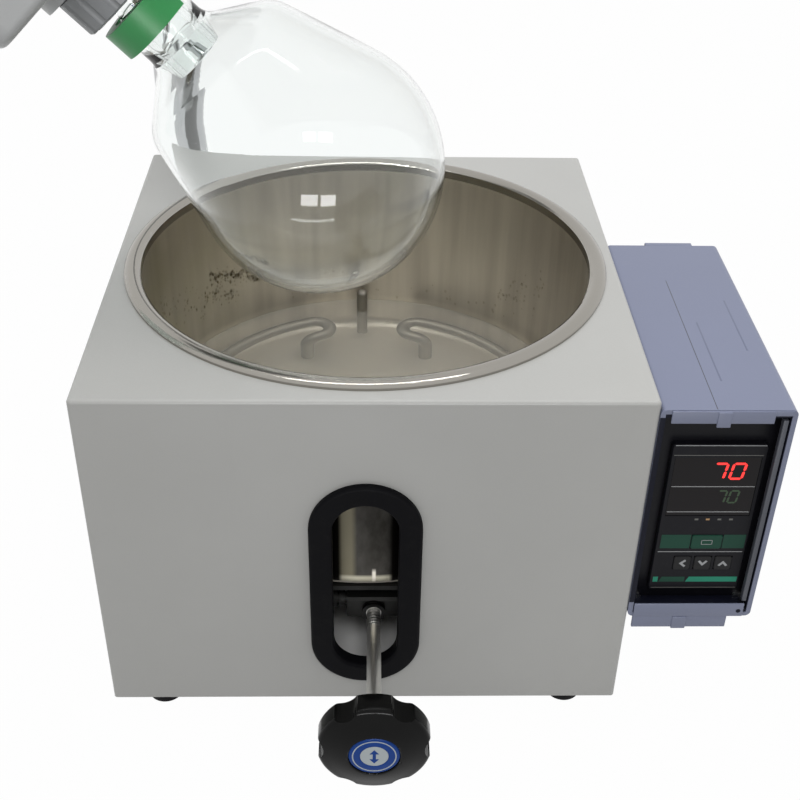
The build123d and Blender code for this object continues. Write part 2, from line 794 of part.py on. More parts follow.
def slot_grommet():
    outer_w = SLOT_W + 2 * RING_LAND
    outer_h = SLOT_H + 2 * RING_LAND
    neck_w = SLOT_W + 2 * RING_NECK
    neck_h = SLOT_H + 2 * RING_NECK
    front = extrude(obround(outer_w, outer_h), RING_FRONT_T)
    neck = Pos(0, SHEET_T, 0) * extrude(obround(neck_w, neck_h), SHEET_T)
    back_y = SHEET_T + RING_BACK_T
    inset = 2 * RING_BACK_INSET
    back = Pos(0, back_y, 0) * extrude(obround(outer_w - inset, outer_h - inset), RING_BACK_T)
    ring = front + neck + back
    through = RING_FRONT_T + back_y + 2 * PAST
    ring -= Pos(0, back_y + PAST, 0) * extrude(obround(SLOT_W, SLOT_H), through)
    lip = ring.faces().sort_by(Axis.Y)[0].edges()
    return fillet(lip, RING_ROUND)


def floor_corner(wall_r, floor_z, radius):
    """Quarter arc between an upright wall and the floor, in the outline's plane."""
    slant = radius * (1 - math.sqrt(0.5))
    top = (wall_r, 0, floor_z + radius)
    middle = (wall_r - slant, 0, floor_z + slant)
    low = (wall_r - radius, 0, floor_z)
    return ThreePointArc(top, middle, low)


def basin():
    wall_r = BASIN_R + BASIN_T
    floor_z = BASIN_BOTTOM_Z + BASIN_T
    inner_corner = BASIN_CORNER_R - BASIN_T
    rim_r = BASIN_R + BASIN_T + RIM_W
    low, top = RIM_Z, RIM_Z + RIM_H
    outer_wall = Line((wall_r, 0, low), (wall_r, 0, BASIN_BOTTOM_Z + BASIN_CORNER_R))
    outer_floor = Line((wall_r - BASIN_CORNER_R, 0, BASIN_BOTTOM_Z), (0, 0, BASIN_BOTTOM_Z))
    outer_corner = floor_corner(wall_r, BASIN_BOTTOM_Z, BASIN_CORNER_R)
    middle = Line((0, 0, BASIN_BOTTOM_Z), (0, 0, floor_z))
    inner_floor = Line((0, 0, floor_z), (BASIN_R - inner_corner, 0, floor_z))
    inner_wall = Line((BASIN_R, 0, floor_z + inner_corner), (BASIN_R, 0, low + RIM_INNER_H))
    inner_bend = floor_corner(BASIN_R, floor_z, inner_corner)
    lip_top = (rim_r, 0, low + RIM_LIP_H)
    crown = ThreePointArc(inner_wall @ 1, (BASIN_R + RIM_CROWN_W, 0, top), lip_top)
    lip = Line(lip_top, (rim_r, 0, low))
    under = Line((rim_r, 0, low), (wall_r, 0, low))
    edges = [outer_wall, outer_corner, outer_floor, middle, inner_floor, inner_bend, inner_wall]
    outline = make_face(edges + [crown, lip, under])
    bowl = Pos(0, BASIN_Y, 0) * revolve(outline, axis=Axis.Z)
    for x, y in leg_places():
        bowl -= Pos(x, y, floor_z) * Cylinder(HEATER_TUBE_R + LOOSE_FIT, FLOOR_CUT)
    bowl -= Pos(PROBE_X, BASIN_Y + PROBE_BACK, floor_z) * Cylinder(PROBE_R + LOOSE_FIT, FLOOR_CUT)
    return bowl


def heater_turns():
    """Ring end, hook centre and hook end of the right-hand side, seen from the basin axis."""
    gap = math.radians(HEATER_GAP_DEG)
    outward = Vector(math.sin(gap), math.cos(gap), 0)
    ring_end = outward * HEATER_RING_R
    hook_end = outward * (HEATER_RING_R - 2 * HOOK_R)
    hook_tip = outward * (HEATER_RING_R - HOOK_R) + Vector(-math.cos(gap), math.sin(gap), 0) * HOOK_R
    leaving = Vector(math.cos(gap), -math.sin(gap), 0)
    return ring_end, hook_tip, hook_end, leaving


def leg_places():
    ring_end, hook_tip, hook_end, leaving = heater_turns()
    leg = hook_end + leaving * LEG_BEND_R
    return [(-leg.X, BASIN_Y + leg.Y), (leg.X, BASIN_Y + leg.Y)]


def heater():
    ring_end, hook_tip, hook_end, leaving = heater_turns()
    lift = Vector(0, BASIN_Y, HEATER_Z)

    def mirrored(point):
        return Vector(-point.X, point.Y, point.Z)

    ring = ThreePointArc(lift + ring_end, lift + Vector(0, -HEATER_RING_R, 0), lift + mirrored(ring_end))
    edges = [ring]
    bend = math.sin(math.radians(45)) * LEG_BEND_R
    for flip in (lambda p: p, mirrored):
        edges.append(ThreePointArc(lift + flip(ring_end), lift + flip(hook_tip), lift + flip(hook_end)))
        leg = hook_end + leaving * LEG_BEND_R
        mid = hook_end + leaving * bend + Vector(0, 0, bend - LEG_BEND_R)
        low = leg + Vector(0, 0, -LEG_BEND_R)
        edges.append(ThreePointArc(lift + flip(hook_end), lift + flip(mid), lift + flip(low)))
        foot = Vector(leg.X, leg.Y, LEG_BOTTOM_Z - HEATER_Z)
        edges.append(Line(lift + flip(low), lift + flip(foot)))
    path = Wire(edges)
    start = path @ 0
    section = Plane(origin=start, z_dir=path % 0) * Circle(HEATER_TUBE_R)
    return sweep(section, path=path)


def hex_nut(x, y, bore, top):
    """Hexagon nut with its upper face at the given height."""
    nut = extrude(RegularPolygon(NUT_AF_R, 6, major_radius=False) - Circle(bore), NUT_H)
    return Pos(x, y, top - NUT_H) * nut


def floor_nuts():
    nuts = [hex_nut(x, y, HEATER_TUBE_R + LOOSE_FIT, BASIN_BOTTOM_Z) for x, y in leg_places()]
    nuts.append(hex_nut(PROBE_X, BASIN_Y + PROBE_BACK, PROBE_R + LOOSE_FIT, BASIN_BOTTOM_Z))
    return Compound(children=nuts)


def temperature_probe():
    probe = rod(PROBE_R, BASIN_BOTTOM_Z - PROBE_TAIL, PROBE_TOP_Z)
    probe = fillet(probe.faces().sort_by(Axis.Z)[-1].edges(), PROBE_R - PROBE_TIP_FLAT)
    return Pos(PROBE_X, BASIN_Y + PROBE_BACK, 0) * probe


def jack_top_bracket():
    low, top = BASIN_BOTTOM_Z - BRACKET_T, BASIN_BOTTOM_Z
    plate = block(
        JACK_X - BRACKET_HALF_W,
        JACK_X + BRACKET_HALF_W,
        BRACKET_FRONT_Y,
        BRACKET_BACK_Y,
        low,
        top,
    )
    wall = HOUSING_W / 2 - SHEET_T
    bar = block(-wall, wall, BASIN_Y - CROSSBAR_D / 2, BASIN_Y + CROSSBAR_D / 2, low, top)
    bracket = plate + bar
    for side in (-1, 1):
        ends = sorted((side * wall, side * (wall - BRACKET_T)))
        bracket += block(
            *ends,
            BASIN_Y - CROSSBAR_D / 2,
            BASIN_Y + CROSSBAR_D / 2,
            low,
            low + BRACKET_TAB_H,
        )
        ear = sorted((JACK_X + side * BRACKET_EAR_X, JACK_X + side * (BRACKET_EAR_X + ARM_T)))
        bracket += block(
            *ear,
            BASIN_Y - BRACKET_EAR_D / 2,
            BASIN_Y + BRACKET_EAR_D / 2,
            UPPER_PIN_Z - ARM_HALF_H,
            low,
        )
    for y in (BASIN_Y - PIN_OFFSET_Y, BASIN_Y + PIN_OFFSET_Y):
        reach = BRACKET_EAR_X + ARM_T + PAST
        bracket -= rod_x(RIVET_R, y, UPPER_PIN_Z, JACK_X - reach, JACK_X + reach)
    return bracket


def case_half(left):
    """One extruded half of the control box: a side wall with a top and a bottom flange."""
    if left:
        x0, x1 = CASE_LEFT_X, CASE_SEAM_X
        wall_x = (CASE_LEFT_X, CASE_LEFT_X + CASE_T)
    else:
        x0, x1 = CASE_SEAM_X, CASE_RIGHT_X
        wall_x = (CASE_RIGHT_X - CASE_T, CASE_RIGHT_X)
    low, top = CASE_BOTTOM_Z, CASE_TOP_Z
    shell = block(x0, x1, 0, CASE_D, low, top)
    corner = shell.edges().filter_by(Axis.Y).group_by(Axis.X)[0 if left else -1]
    shell = fillet(corner, CASE_ROUND)
    inner = (wall_x[1], x1 + PAST) if left else (x0 - PAST, wall_x[0])
    shell -= block(*inner, -PAST, CASE_D + PAST, low + CASE_T, top - CASE_T)
    # Tongue of the left half slides under the flange of the right half at top and bottom.
    if left:
        tongue_x = (CASE_SEAM_X - CASE_T, CASE_SEAM_X + SEAM_OVERLAP)
        inner_top = top - CASE_T
        inner_low = low + CASE_T
        shell += block(*tongue_x, 0, CASE_D, inner_top - SEAM_RIB_H, inner_top - RUNNING_FIT)
        shell += block(*tongue_x, 0, CASE_D, inner_low + RUNNING_FIT, inner_low + SEAM_RIB_H)
        shell += block(x1 - CASE_T, x1, 0, CASE_D, inner_top - SEAM_RIB_H, inner_top)
        shell += block(x1 - CASE_T, x1, 0, CASE_D, inner_low, inner_low + SEAM_RIB_H)
    boss_front = BEZEL_Y + BEZEL_T
    boss_back = CASE_D - REAR_PLATE_T - REAR_PLATE_INSET
    for x, z in boss_places():
        if x0 < x < x1:
            shell += rod_y(BOSS_R, x, z, boss_front, boss_back)
            shell -= rod_y(BOSS_HOLE_R, x, z, boss_front - PAST, boss_back + PAST)
    return shell


def boss_places():
    reach = CASE_T + BOSS_R - BOSS_SINK
    left = CASE_LEFT_X + reach
    right = CASE_RIGHT_X - reach
    low = CASE_BOTTOM_Z + reach
    top = CASE_TOP_Z - reach
    return [(x, z) for x in (left, right) for z in (low, top)]


def end_plate(front, back):
    """Plate that closes one end of the control box, with four screw holes."""
    edge = CASE_T + LOOSE_FIT
    low = CASE_BOTTOM_Z + SEAM_RIB_H + edge
    top = CASE_TOP_Z - SEAM_RIB_H - edge
    left = CASE_LEFT_X + edge
    right = CASE_RIGHT_X - edge
    plate = block(left, right, front, back, low, top)
    for x, z in boss_places():
        plate -= rod_y(CASE_SCREW_R + LOOSE_FIT, x, z, front - PAST, back + PAST)
    return plate


def case_bezel():
    plate = end_plate(BEZEL_Y, BEZEL_Y + BEZEL_T)
    half = CONTROLLER_BODY_W / 2 + LOOSE_FIT
    middle = FACE_BOTTOM_Z + FACE_H / 2
    half_h = CONTROLLER_BODY_H / 2 + LOOSE_FIT
    return plate - block(
        FACE_CENTRE_X - half,
        FACE_CENTRE_X + half,
        BEZEL_Y - PAST,
        BEZEL_Y + BEZEL_T + PAST,
        middle - half_h,
        middle + half_h,
    )


def case_rear_plate():
    back = CASE_D - REAR_PLATE_INSET
    plate = end_plate(back - REAR_PLATE_T, back)
    middle = (CASE_LEFT_X + CASE_RIGHT_X) / 2
    for width, height, z in ((INLET_W, INLET_H, INLET_Z), (SWITCH_W, SWITCH_H, SWITCH_Z)):
        half_w = width / 2 + LOOSE_FIT
        half_h = height / 2 + LOOSE_FIT
        front = back - REAR_PLATE_T - PAST
        plate -= block(middle - half_w, middle + half_w, front, back + PAST, z - half_h, z + half_h)
    return plate


def case_screws():
    screws = []
    front_y = BEZEL_Y
    back_y = CASE_D - REAR_PLATE_INSET
    for x, z in boss_places():
        head = rod_y(CASE_SCREW_HEAD_R, x, z, front_y - CASE_SCREW_HEAD_T, front_y)
        screws.append(head + rod_y(CASE_SCREW_R, x, z, front_y, front_y + CASE_SCREW_L))
        head = rod_y(CASE_SCREW_HEAD_R, x, z, back_y, back_y + CASE_SCREW_HEAD_T)
        screws.append(head + rod_y(CASE_SCREW_R, x, z, back_y - CASE_SCREW_L, back_y))
    return Compound(children=screws)


def key_places():
    middle = FACE_CENTRE_X + KEY_SHIFT_X
    low = FACE_BOTTOM_Z
    return {
        "set_key": (middle, low + SET_KEY_RISE, SET_KEY_W, SET_KEY_H),
        "left_key": (middle - ARROW_KEY_PITCH, low + ARROW_KEY_RISE, ARROW_KEY_W, ARROW_KEY_H),
        "down_key": (middle, low + ARROW_KEY_RISE, ARROW_KEY_W, ARROW_KEY_H),
        "up_key": (middle + ARROW_KEY_PITCH, low + ARROW_KEY_RISE, ARROW_KEY_W, ARROW_KEY_H),
    }


def face_front_y():
    return BEZEL_Y - FACE_T


def key(name):
    x, z, width, height = key_places()[name]
    front = face_front_y() - KEY_PROUD
    cap = block(x - width / 2, x + width / 2, front, front + KEY_T, z - height / 2, z + height / 2)
    cap = fillet(cap.edges().filter_by(Axis.Y), KEY_ROUND)
    return chamfer(cap.faces().sort_by(Axis.Y)[0].edges(), KEY_EDGE)


def controller_face():
    front = face_front_y()
    left = FACE_CENTRE_X - FACE_W / 2
    face = block(left, left + FACE_W, front, BEZEL_Y, FACE_BOTTOM_Z, FACE_BOTTOM_Z + FACE_H)
    face = fillet(face.edges().filter_by(Axis.Y), FACE_ROUND)
    face = chamfer(face.faces().sort_by(Axis.Y)[0].edges(), FACE_EDGE)
    window_top = FACE_BOTTOM_Z + FACE_H - WINDOW_TOP_DROP
    half = WINDOW_W / 2 + LOOSE_FIT
    face -= block(
        FACE_CENTRE_X - half,
        FACE_CENTRE_X + half,
        front - PAST,
        front + WINDOW_T + WINDOW_SINK,
        window_top - WINDOW_H - LOOSE_FIT,
        window_top + LOOSE_FIT,
    )
    for x, z, width, height in key_places().values():
        half_w = width / 2 + LOOSE_FIT
        half_h = height / 2 + LOOSE_FIT
        depth = front + KEY_T - KEY_PROUD + KEY_TRAVEL + LOOSE_FIT
        face -= block(x - half_w, x + half_w, front - PAST, depth, z - half_h, z + half_h)
    return face


def display_window():
    front = face_front_y() + WINDOW_SINK
    top = FACE_BOTTOM_Z + FACE_H - WINDOW_TOP_DROP
    half = WINDOW_W / 2
    return block(FACE_CENTRE_X - half, FACE_CENTRE_X + half, front, front + WINDOW_T, top - WINDOW_H, top)


def controller_case():
    half = CONTROLLER_BODY_W / 2
    middle = FACE_BOTTOM_Z + FACE_H / 2
    low, top = middle - CONTROLLER_BODY_H / 2, middle + CONTROLLER_BODY_H / 2
    back = BEZEL_Y + CONTROLLER_BODY_D
    body = block(FACE_CENTRE_X - half, FACE_CENTRE_X + half, BEZEL_Y, back, low, top)
    # Ventilation grooves along the two sides of the instrument case.
    for side in (-1, 1):
        x = FACE_CENTRE_X + side * half
        for step in range(1, VENTS + 1):
            z = low + step * VENT_PITCH
            ends = (BEZEL_Y + VENT_FRONT, back - VENT_BACK)
            body -= block(x - VENT_DEPTH, x + VENT_DEPTH, *ends, z, z + VENT_H)
    return body


def power_inlet():
    middle = (CASE_LEFT_X + CASE_RIGHT_X) / 2
    back = CASE_D - REAR_PLATE_INSET
    flange = block(
        middle - INLET_W / 2 - INLET_EAR_W,
        middle + INLET_W / 2 + INLET_EAR_W,
        back,
        back + INLET_FLANGE_T,
        INLET_Z - INLET_H / 2 - INLET_RIM,
        INLET_Z + INLET_H / 2 + INLET_RIM,
    )
    flange = fillet(flange.edges().filter_by(Axis.Y), INLET_RIM)
    body = block(
        middle - INLET_W / 2,
        middle + INLET_W / 2,
        back - INLET_D,
        back,
        INLET_Z - INLET_H / 2,
        INLET_Z + INLET_H / 2,
    )
    inlet = flange + body
    inlet -= block(
        middle - PIN_CAVITY_W / 2,
        middle + PIN_CAVITY_W / 2,
        back - INLET_D + INLET_FLOOR,
        back + INLET_FLANGE_T + PAST,
        INLET_Z - PIN_CAVITY_H / 2,
        INLET_Z + PIN_CAVITY_H / 2,
    )
    for dx, dz in PIN_PLACES:
        ends = (back - INLET_D + INLET_FLOOR, back - PIN_SINK)
        blade = block(-PIN_W / 2, PIN_W / 2, *ends, -PIN_H / 2, PIN_H / 2)
        inlet += Pos(middle + dx, 0, INLET_Z + dz) * blade
    return inlet


def rocker_outline(width, height, proud):
    """Rocker seen along its pivot: a shallow roof over a round back."""
    back = CASE_D - REAR_PLATE_INSET
    heel = (back - ROCKER_BACK, ROCKER_BACK_HALF)
    shoulder = (back - ROCKER_SHOULDER, height / 2)
    tip = (back + proud, height / 2)
    upper = [heel, shoulder, tip]
    points = [(y, -z) for y, z in upper] + [(back + proud - ROCKER_DIP, 0)] + upper[::-1]
    outline = make_face(Polyline([(0, y, z) for y, z in points], close=True))
    middle = (CASE_LEFT_X + CASE_RIGHT_X) / 2
    return Pos(middle - width / 2, 0, SWITCH_Z) * extrude(outline, width, dir=(1, 0, 0))


def power_switch():
    middle = (CASE_LEFT_X + CASE_RIGHT_X) / 2
    back = CASE_D - REAR_PLATE_INSET
    flange = block(
        middle - SWITCH_W / 2 - SWITCH_RIM,
        middle + SWITCH_W / 2 + SWITCH_RIM,
        back,
        back + SWITCH_FLANGE_T,
        SWITCH_Z - SWITCH_H / 2 - SWITCH_RIM,
        SWITCH_Z + SWITCH_H / 2 + SWITCH_RIM,
    )
    body = block(
        middle - SWITCH_W / 2,
        middle + SWITCH_W / 2,
        back - SWITCH_D,
        back,
        SWITCH_Z - SWITCH_H / 2,
        SWITCH_Z + SWITCH_H / 2,
    )
    frame = flange + body
    half_w = SWITCH_W / 2 - ROCKER_WALL
    half_h = SWITCH_H / 2 - ROCKER_WALL
    ends = (back - SWITCH_WELL_D, back + SWITCH_FLANGE_T + PAST)
    frame -= block(middle - half_w, middle + half_w, *ends, SWITCH_Z - half_h, SWITCH_Z + half_h)
    return frame - rocker_pivot(RUNNING_FIT)


def rocker_pivot(play):
    """Stub axle across the switch, which reaches most of the way through its side walls."""
    middle = (CASE_LEFT_X + CASE_RIGHT_X) / 2
    reach = SWITCH_W / 2 - LOOSE_FIT + play
    pivot_y = CASE_D - REAR_PLATE_INSET - ROCKER_PIVOT_DROP
    return rod_x(ROCKER_PIVOT_R + play, pivot_y, SWITCH_Z, middle - reach, middle + reach)


def rocker():
    width = SWITCH_W - 2 * ROCKER_WALL - 2 * ROCKER_PLAY
    height = SWITCH_H - 2 * ROCKER_WALL - 6 * ROCKER_PLAY
    return rocker_outline(width, height, ROCKER_PROUD) + rocker_pivot(0)


def carriage():
    """Split clamp on the column with a round bar forward to the head's tilt disc."""
    half_h = CARRIAGE_H / 2
    front = COLUMN_Y - CARRIAGE_D / 2
    back = COLUMN_Y + CARRIAGE_D / 2
    body = block(
        COLUMN_X - CARRIAGE_W / 2,
        COLUMN_X + CARRIAGE_W / 2,
        front,
        back,
        PIVOT.Z - half_h,
        PIVOT.Z + half_h,
    )
    body = fillet(body.edges().filter_by(Axis.Z), CARRIAGE_ROUND)
    body = chamfer(body.edges().group_by(Axis.Z)[-1], CARRIAGE_EDGE)
    disc_front = HEAD_BACK_Y + SIDE_PLAY
    body += rod_y(ARM_BAR_R, COLUMN_X, PIVOT.Z, disc_front + DISC_T, front)
    body += rod_y(DISC_R, COLUMN_X, PIVOT.Z, disc_front, disc_front + DISC_T)
    body += rod_y(SPIGOT_R, COLUMN_X, PIVOT.Z, disc_front - SPIGOT_L, disc_front)
    body -= Pos(COLUMN_X, COLUMN_Y, 0) * rod(
        COLUMN_R + RUNNING_FIT, PIVOT.Z - half_h - PAST, PIVOT.Z + half_h + PAST
    )
    body -= block(
        COLUMN_X - CLAMP_SLIT / 2,
        COLUMN_X + CLAMP_SLIT / 2,
        COLUMN_Y,
        back + PAST,
        PIVOT.Z - half_h - PAST,
        PIVOT.Z + half_h + PAST,
    )
    lock_y = COLUMN_Y + LOCK_STUD_BACK
    body -= rod_x(
        LOCK_STUD_R + RUNNING_FIT,
        lock_y,
        PIVOT.Z,
        COLUMN_X - CARRIAGE_W / 2 - PAST,
        COLUMN_X + CARRIAGE_W / 2 - LOCK_STUD_WALL,
    )
    tilt_x = COLUMN_X + TILT_KNOB_OUT
    ends = (disc_front - PAST, disc_front + DISC_T + PAST)
    body -= rod_y(TILT_STUD_R + RUNNING_FIT, tilt_x, PIVOT.Z, *ends)
    return body


def grip_knob(radius, thickness, stud_r, stud_l):
    """Lobed hand knob on the Z axis: its stud runs down from Z = 0 and its grip stands above."""
    grip = lobed_disc(radius, GRIP_LOBES, GRIP_DEPTH, thickness - GRIP_NECK_H)
    grip = Pos(0, 0, GRIP_NECK_H) * grip
    grip = chamfer(grip.faces().sort_by(Axis.Z)[-1].edges(), GRIP_EDGE)
    return grip + rod(radius * GRIP_NECK_SHARE, 0, GRIP_NECK_H) + rod(stud_r, -stud_l, 0)


def carriage_knob():
    knob = grip_knob(LOCK_KNOB_R, LOCK_KNOB_T, LOCK_STUD_R, CARRIAGE_W - LOCK_STUD_SHORT)
    place = Plane(
        origin=(COLUMN_X - CARRIAGE_W / 2 - SIDE_PLAY, COLUMN_Y + LOCK_STUD_BACK, PIVOT.Z),
        x_dir=(0, 1, 0),
        z_dir=(-1, 0, 0),
    )
    return place.location * knob


def tilt_knob():
    knob = grip_knob(TILT_KNOB_R, TILT_KNOB_T, TILT_STUD_R, DISC_T + SIDE_PLAY)
    disc_back = HEAD_BACK_Y + SIDE_PLAY + DISC_T
    place = Plane(
        origin=(COLUMN_X + TILT_KNOB_OUT, disc_back + SIDE_PLAY, PIVOT.Z),
        x_dir=(1, 0, 0),
        z_dir=(0, 1, 0),
    )
    return place.location * knob


def head_outline(inset):
    """Rounded outline of the drive head, looking along the shaft."""
    high = HEAD_HIGH - inset
    low = HEAD_LOW - inset
    half = HEAD_HALF_W - inset
    shape = Pos((high - low) / 2, 0) * Rectangle(high + low, 2 * half)
    return fillet(shape.vertices(), HEAD_ROUND - inset)


def head_housing():
    shell = Pos(0, 0, HEAD_START) * extrude(head_outline(0), HEAD_END - HEAD_START)
    shell = fillet(shell.faces().sort_by(Axis.Z)[0].edges(), HEAD_FRONT_ROUND)
    cavity_start = HEAD_START + HEAD_WALL
    shell -= Pos(0, 0, cavity_start) * extrude(head_outline(HEAD_WALL), HEAD_END - HEAD_START)
    # Front collar and the two bearing seats around the shaft.
    shell += rod(HEAD_NOSE_R, HEAD_START - HEAD_NOSE_T, HEAD_START)
    shell += rod(BEARING_R + BEARING_SEAT_WALL, cavity_start, BEARING_FRONT + BEARING_W)
    shell -= rod(SHAFT_R + SHAFT_CLEAR, HEAD_START - HEAD_NOSE_T - PAST, HEAD_END + PAST)
    shell -= rod(BEARING_R + RUNNING_FIT, BEARING_FRONT, HEAD_END + PAST)
    # Motor pad and the boss for the tilt spigot.
    pad = Pos(GEAR_CENTRES, 0, 0) * rod(MOTOR_R, cavity_start, MOTOR_START)
    shell += pad - rod(BEARING_R + PAST, 0, HEAD_END)
    boss_face = HEAD_HALF_W - HEAD_WALL
    boss = Pos(TILT_PIVOT_UP, 0, PIVOT_ALONG) * Rot(90, 0, 0)
    reach = SPIGOT_L + BOSS_FLOOR
    shell += boss * rod(PIVOT_BOSS_R, -boss_face - PAST, -HEAD_HALF_W + reach)
    shell -= boss * rod(SPIGOT_R + RUNNING_FIT, -HEAD_HALF_W - PAST, -HEAD_HALF_W + SPIGOT_L)
    stem = Pos(SPEED_KNOB_UP, 0, SPEED_KNOB_ALONG) * Rot(90, 0, 0)
    wall_in = HEAD_HALF_W - HEAD_WALL - PAST
    shell -= stem * rod(SPEED_STEM_R + RUNNING_FIT, wall_in, HEAD_HALF_W + PAST)
    return along_shaft(shell)


def head_cover():
    plate = Pos(0, 0, HEAD_END) * extrude(head_outline(0), COVER_T)
    plate = chamfer(plate.faces().sort_by(Axis.Z)[-1].edges(), COVER_EDGE)
    # Threaded collar that takes the union nut of the condenser.
    seat = BEARING_BACK + BEARING_W
    plate += rod(BEARING_R + BEARING_SEAT_WALL, seat - BEARING_W, HEAD_END)
    plate += rod(UNION_NUT_R - UNION_NUT_WALL, HEAD_END, SHAFT_END + SEAL_T)
    plate -= rod(BEARING_R + RUNNING_FIT, BEARING_BACK - PAST, seat)
    over = SHAFT_END + SEAL_T + PAST
    plate -= rod(SHAFT_R + SHAFT_CLEAR, BEARING_BACK - PAST, over)
    plate -= rod(SEAL_R + LOOSE_FIT, SHAFT_END, over)
    return along_shaft(plate)


def shaft_bearings():
    rings = []
    for start in (BEARING_FRONT, BEARING_BACK):
        end = start + BEARING_W
        outer = rod(BEARING_R, start, end, SHAFT_R + RUNNING_FIT)
        groove = turned(
            [
                (SHAFT_R + BEARING_RACE_W, end - BEARING_GROOVE),
                (BEARING_R - BEARING_RACE_W, end - BEARING_GROOVE),
                (BEARING_R - BEARING_RACE_W, end + PAST),
                (SHAFT_R + BEARING_RACE_W, end + PAST),
            ]
        )
        rings.append(along_shaft(outer - groove))
    return Compound(children=rings)


def drive_motor():
    can = Pos(GEAR_CENTRES, 0, 0) * rod(MOTOR_R, MOTOR_START, MOTOR_END - MOTOR_NOSE_L)
    nose_r = MOTOR_R - MOTOR_NOSE_STEP
    can += Pos(GEAR_CENTRES, 0, 0) * rod(nose_r, MOTOR_END - MOTOR_NOSE_L, MOTOR_END)
    bore = rod(MOTOR_SHAFT_R + RUNNING_FIT, MOTOR_END - MOTOR_BORE_L, MOTOR_END + PAST)
    can -= Pos(GEAR_CENTRES, 0, 0) * bore
    seat_r = BEARING_R + BEARING_SEAT_WALL + LOOSE_FIT
    can -= rod(seat_r, MOTOR_START - PAST, BEARING_FRONT + BEARING_W + LOOSE_FIT)
    return along_shaft(can)


def spur_gear(teeth, bore, start, turn):
    """Straight-sided spur gear on the Z axis; turn sets a tooth's direction in degrees."""
    pitch_r = GEAR_MODULE * teeth / 2
    tip_r = pitch_r + TOOTH_TIP * GEAR_MODULE
    root_r = pitch_r - TOOTH_ROOT * GEAR_MODULE
    step = 2 * math.pi / teeth
    half_root = step * ROOT_SHARE
    half_pitch = step / 4 - TOOTH_BACKLASH / pitch_r
    half_tip = half_pitch * TIP_SHARE
    points = []
    for index in range(teeth):
        middle = math.radians(turn) + index * step
        for radius, offset in (
            (root_r, -half_root),
            (pitch_r, -half_pitch),
            (tip_r, -half_tip),
            (tip_r, half_tip),
            (pitch_r, half_pitch),
            (root_r, half_root),
        ):
            angle = middle + offset
            points.append((radius * math.cos(angle), radius * math.sin(angle)))
    blank = make_face(Polyline(points, close=True)) - Circle(bore)
    return Pos(0, 0, start) * extrude(blank, GEAR_W)


def driven_gear():
    gear = spur_gear(GEAR_TEETH, SHAFT_R + RUNNING_FIT, GEAR_START, 0)
    return along_shaft(gear)


def pinion():
    gap_turn = 180 + 180 / PINION_TEETH
    gear = spur_gear(PINION_TEETH, PINION_PILOT_R, GEAR_START, gap_turn)
    stem = rod(MOTOR_SHAFT_R, MOTOR_END - MOTOR_SHAFT_IN, GEAR_START + GEAR_W)
    collar_r = GEAR_MODULE * PINION_TEETH / 2 - PINION_COLLAR_STEP
    collar = rod(collar_r, MOTOR_END + SIDE_PLAY, GEAR_START)
    return along_shaft(Pos(GEAR_CENTRES, 0, 0) * (gear + stem + collar))


def hollow_shaft():
    shaft = rod(SHAFT_R, SHAFT_START, SHAFT_END - LOOSE_FIT, BORE_R)
    shoulder = BEARING_FRONT + BEARING_W + SHOULDER_GAP
    shaft += rod(SHOULDER_R, shoulder, shoulder + SHOULDER_L, BORE_R)
    return along_shaft(shaft)


def chuck_nut():
    grip = lobed_disc(CHUCK_R, CHUCK_RIBS, CHUCK_RIB_DEPTH, CHUCK_END - CHUCK_START)
    nut = Pos(0, 0, CHUCK_START) * grip
    nut = chamfer(nut.faces().sort_by(Axis.Z)[0].edges(), CHUCK_EDGE)
    nut -= rod(TUBE_R + LOOSE_FIT, CHUCK_START - PAST, CHUCK_END + PAST)
    nut -= rod(SHAFT_R + RUNNING_FIT, SHAFT_START, CHUCK_END + PAST)
    return along_shaft(nut)


def bulb_with_neck(radius, neck_r, neck_end, blend):
    """Half outline of a round flask with a blended neck, on the Z axis."""
    outline = Circle(radius) + Pos(0, neck_end / 2) * Rectangle(2 * neck_r, neck_end)
    joins = [v for v in outline.vertices() if 0 < v.Y < neck_end - PAST]
    return fillet(joins, blend)


def round_flask(radius, neck_r, neck_end, blend, wall):
    """Hollow round flask with an open neck, turned about the Z axis."""
    outer = bulb_with_neck(radius, neck_r, neck_end, blend)
    inner = bulb_with_neck(radius - wall, neck_r - wall, neck_end + PAST, blend + wall)
    skin = outer - inner
    half = Pos(radius, 0) * Rectangle(2 * radius, 4 * (radius + neck_end))
    skin = skin & half
    return revolve(Plane.XZ * skin, axis=Axis.Z)


def pear_half(wall, top):
    """Half outline of the pear shaped flask, drawn in from its outside by wall."""
    radius = FLASK_R - wall
    neck_r = FLASK_NECK_R - wall
    slope = math.radians(FLASK_CONE_DEG)
    neck_start = FLASK_NECK_END - FLASK_NECK_L - wall / 2
    shoulder = neck_start - FLASK_SHOULDER_L
    shoulder_r = radius / math.cos(slope) - shoulder * math.tan(slope)
    touch = (radius * math.cos(slope), radius * math.sin(slope))
    side = (radius * math.cos(slope), -radius * math.sin(slope))
    belly = ThreePointArc((0, -radius), side, touch)
    upper = Polyline(touch, (shoulder_r, shoulder), (neck_r, neck_start), (neck_r, top), (0, top), (0, -radius))
    outline = make_face(belly + upper)
    bends = outline.vertices()
    outline = fillet([v for v in bends if v.Y == shoulder], FLASK_SHOULDER_ROUND - wall)
    joins = [v for v in outline.vertices() if v.Y == neck_start]
    return fillet(joins, FLASK_NECK_BLEND + wall)


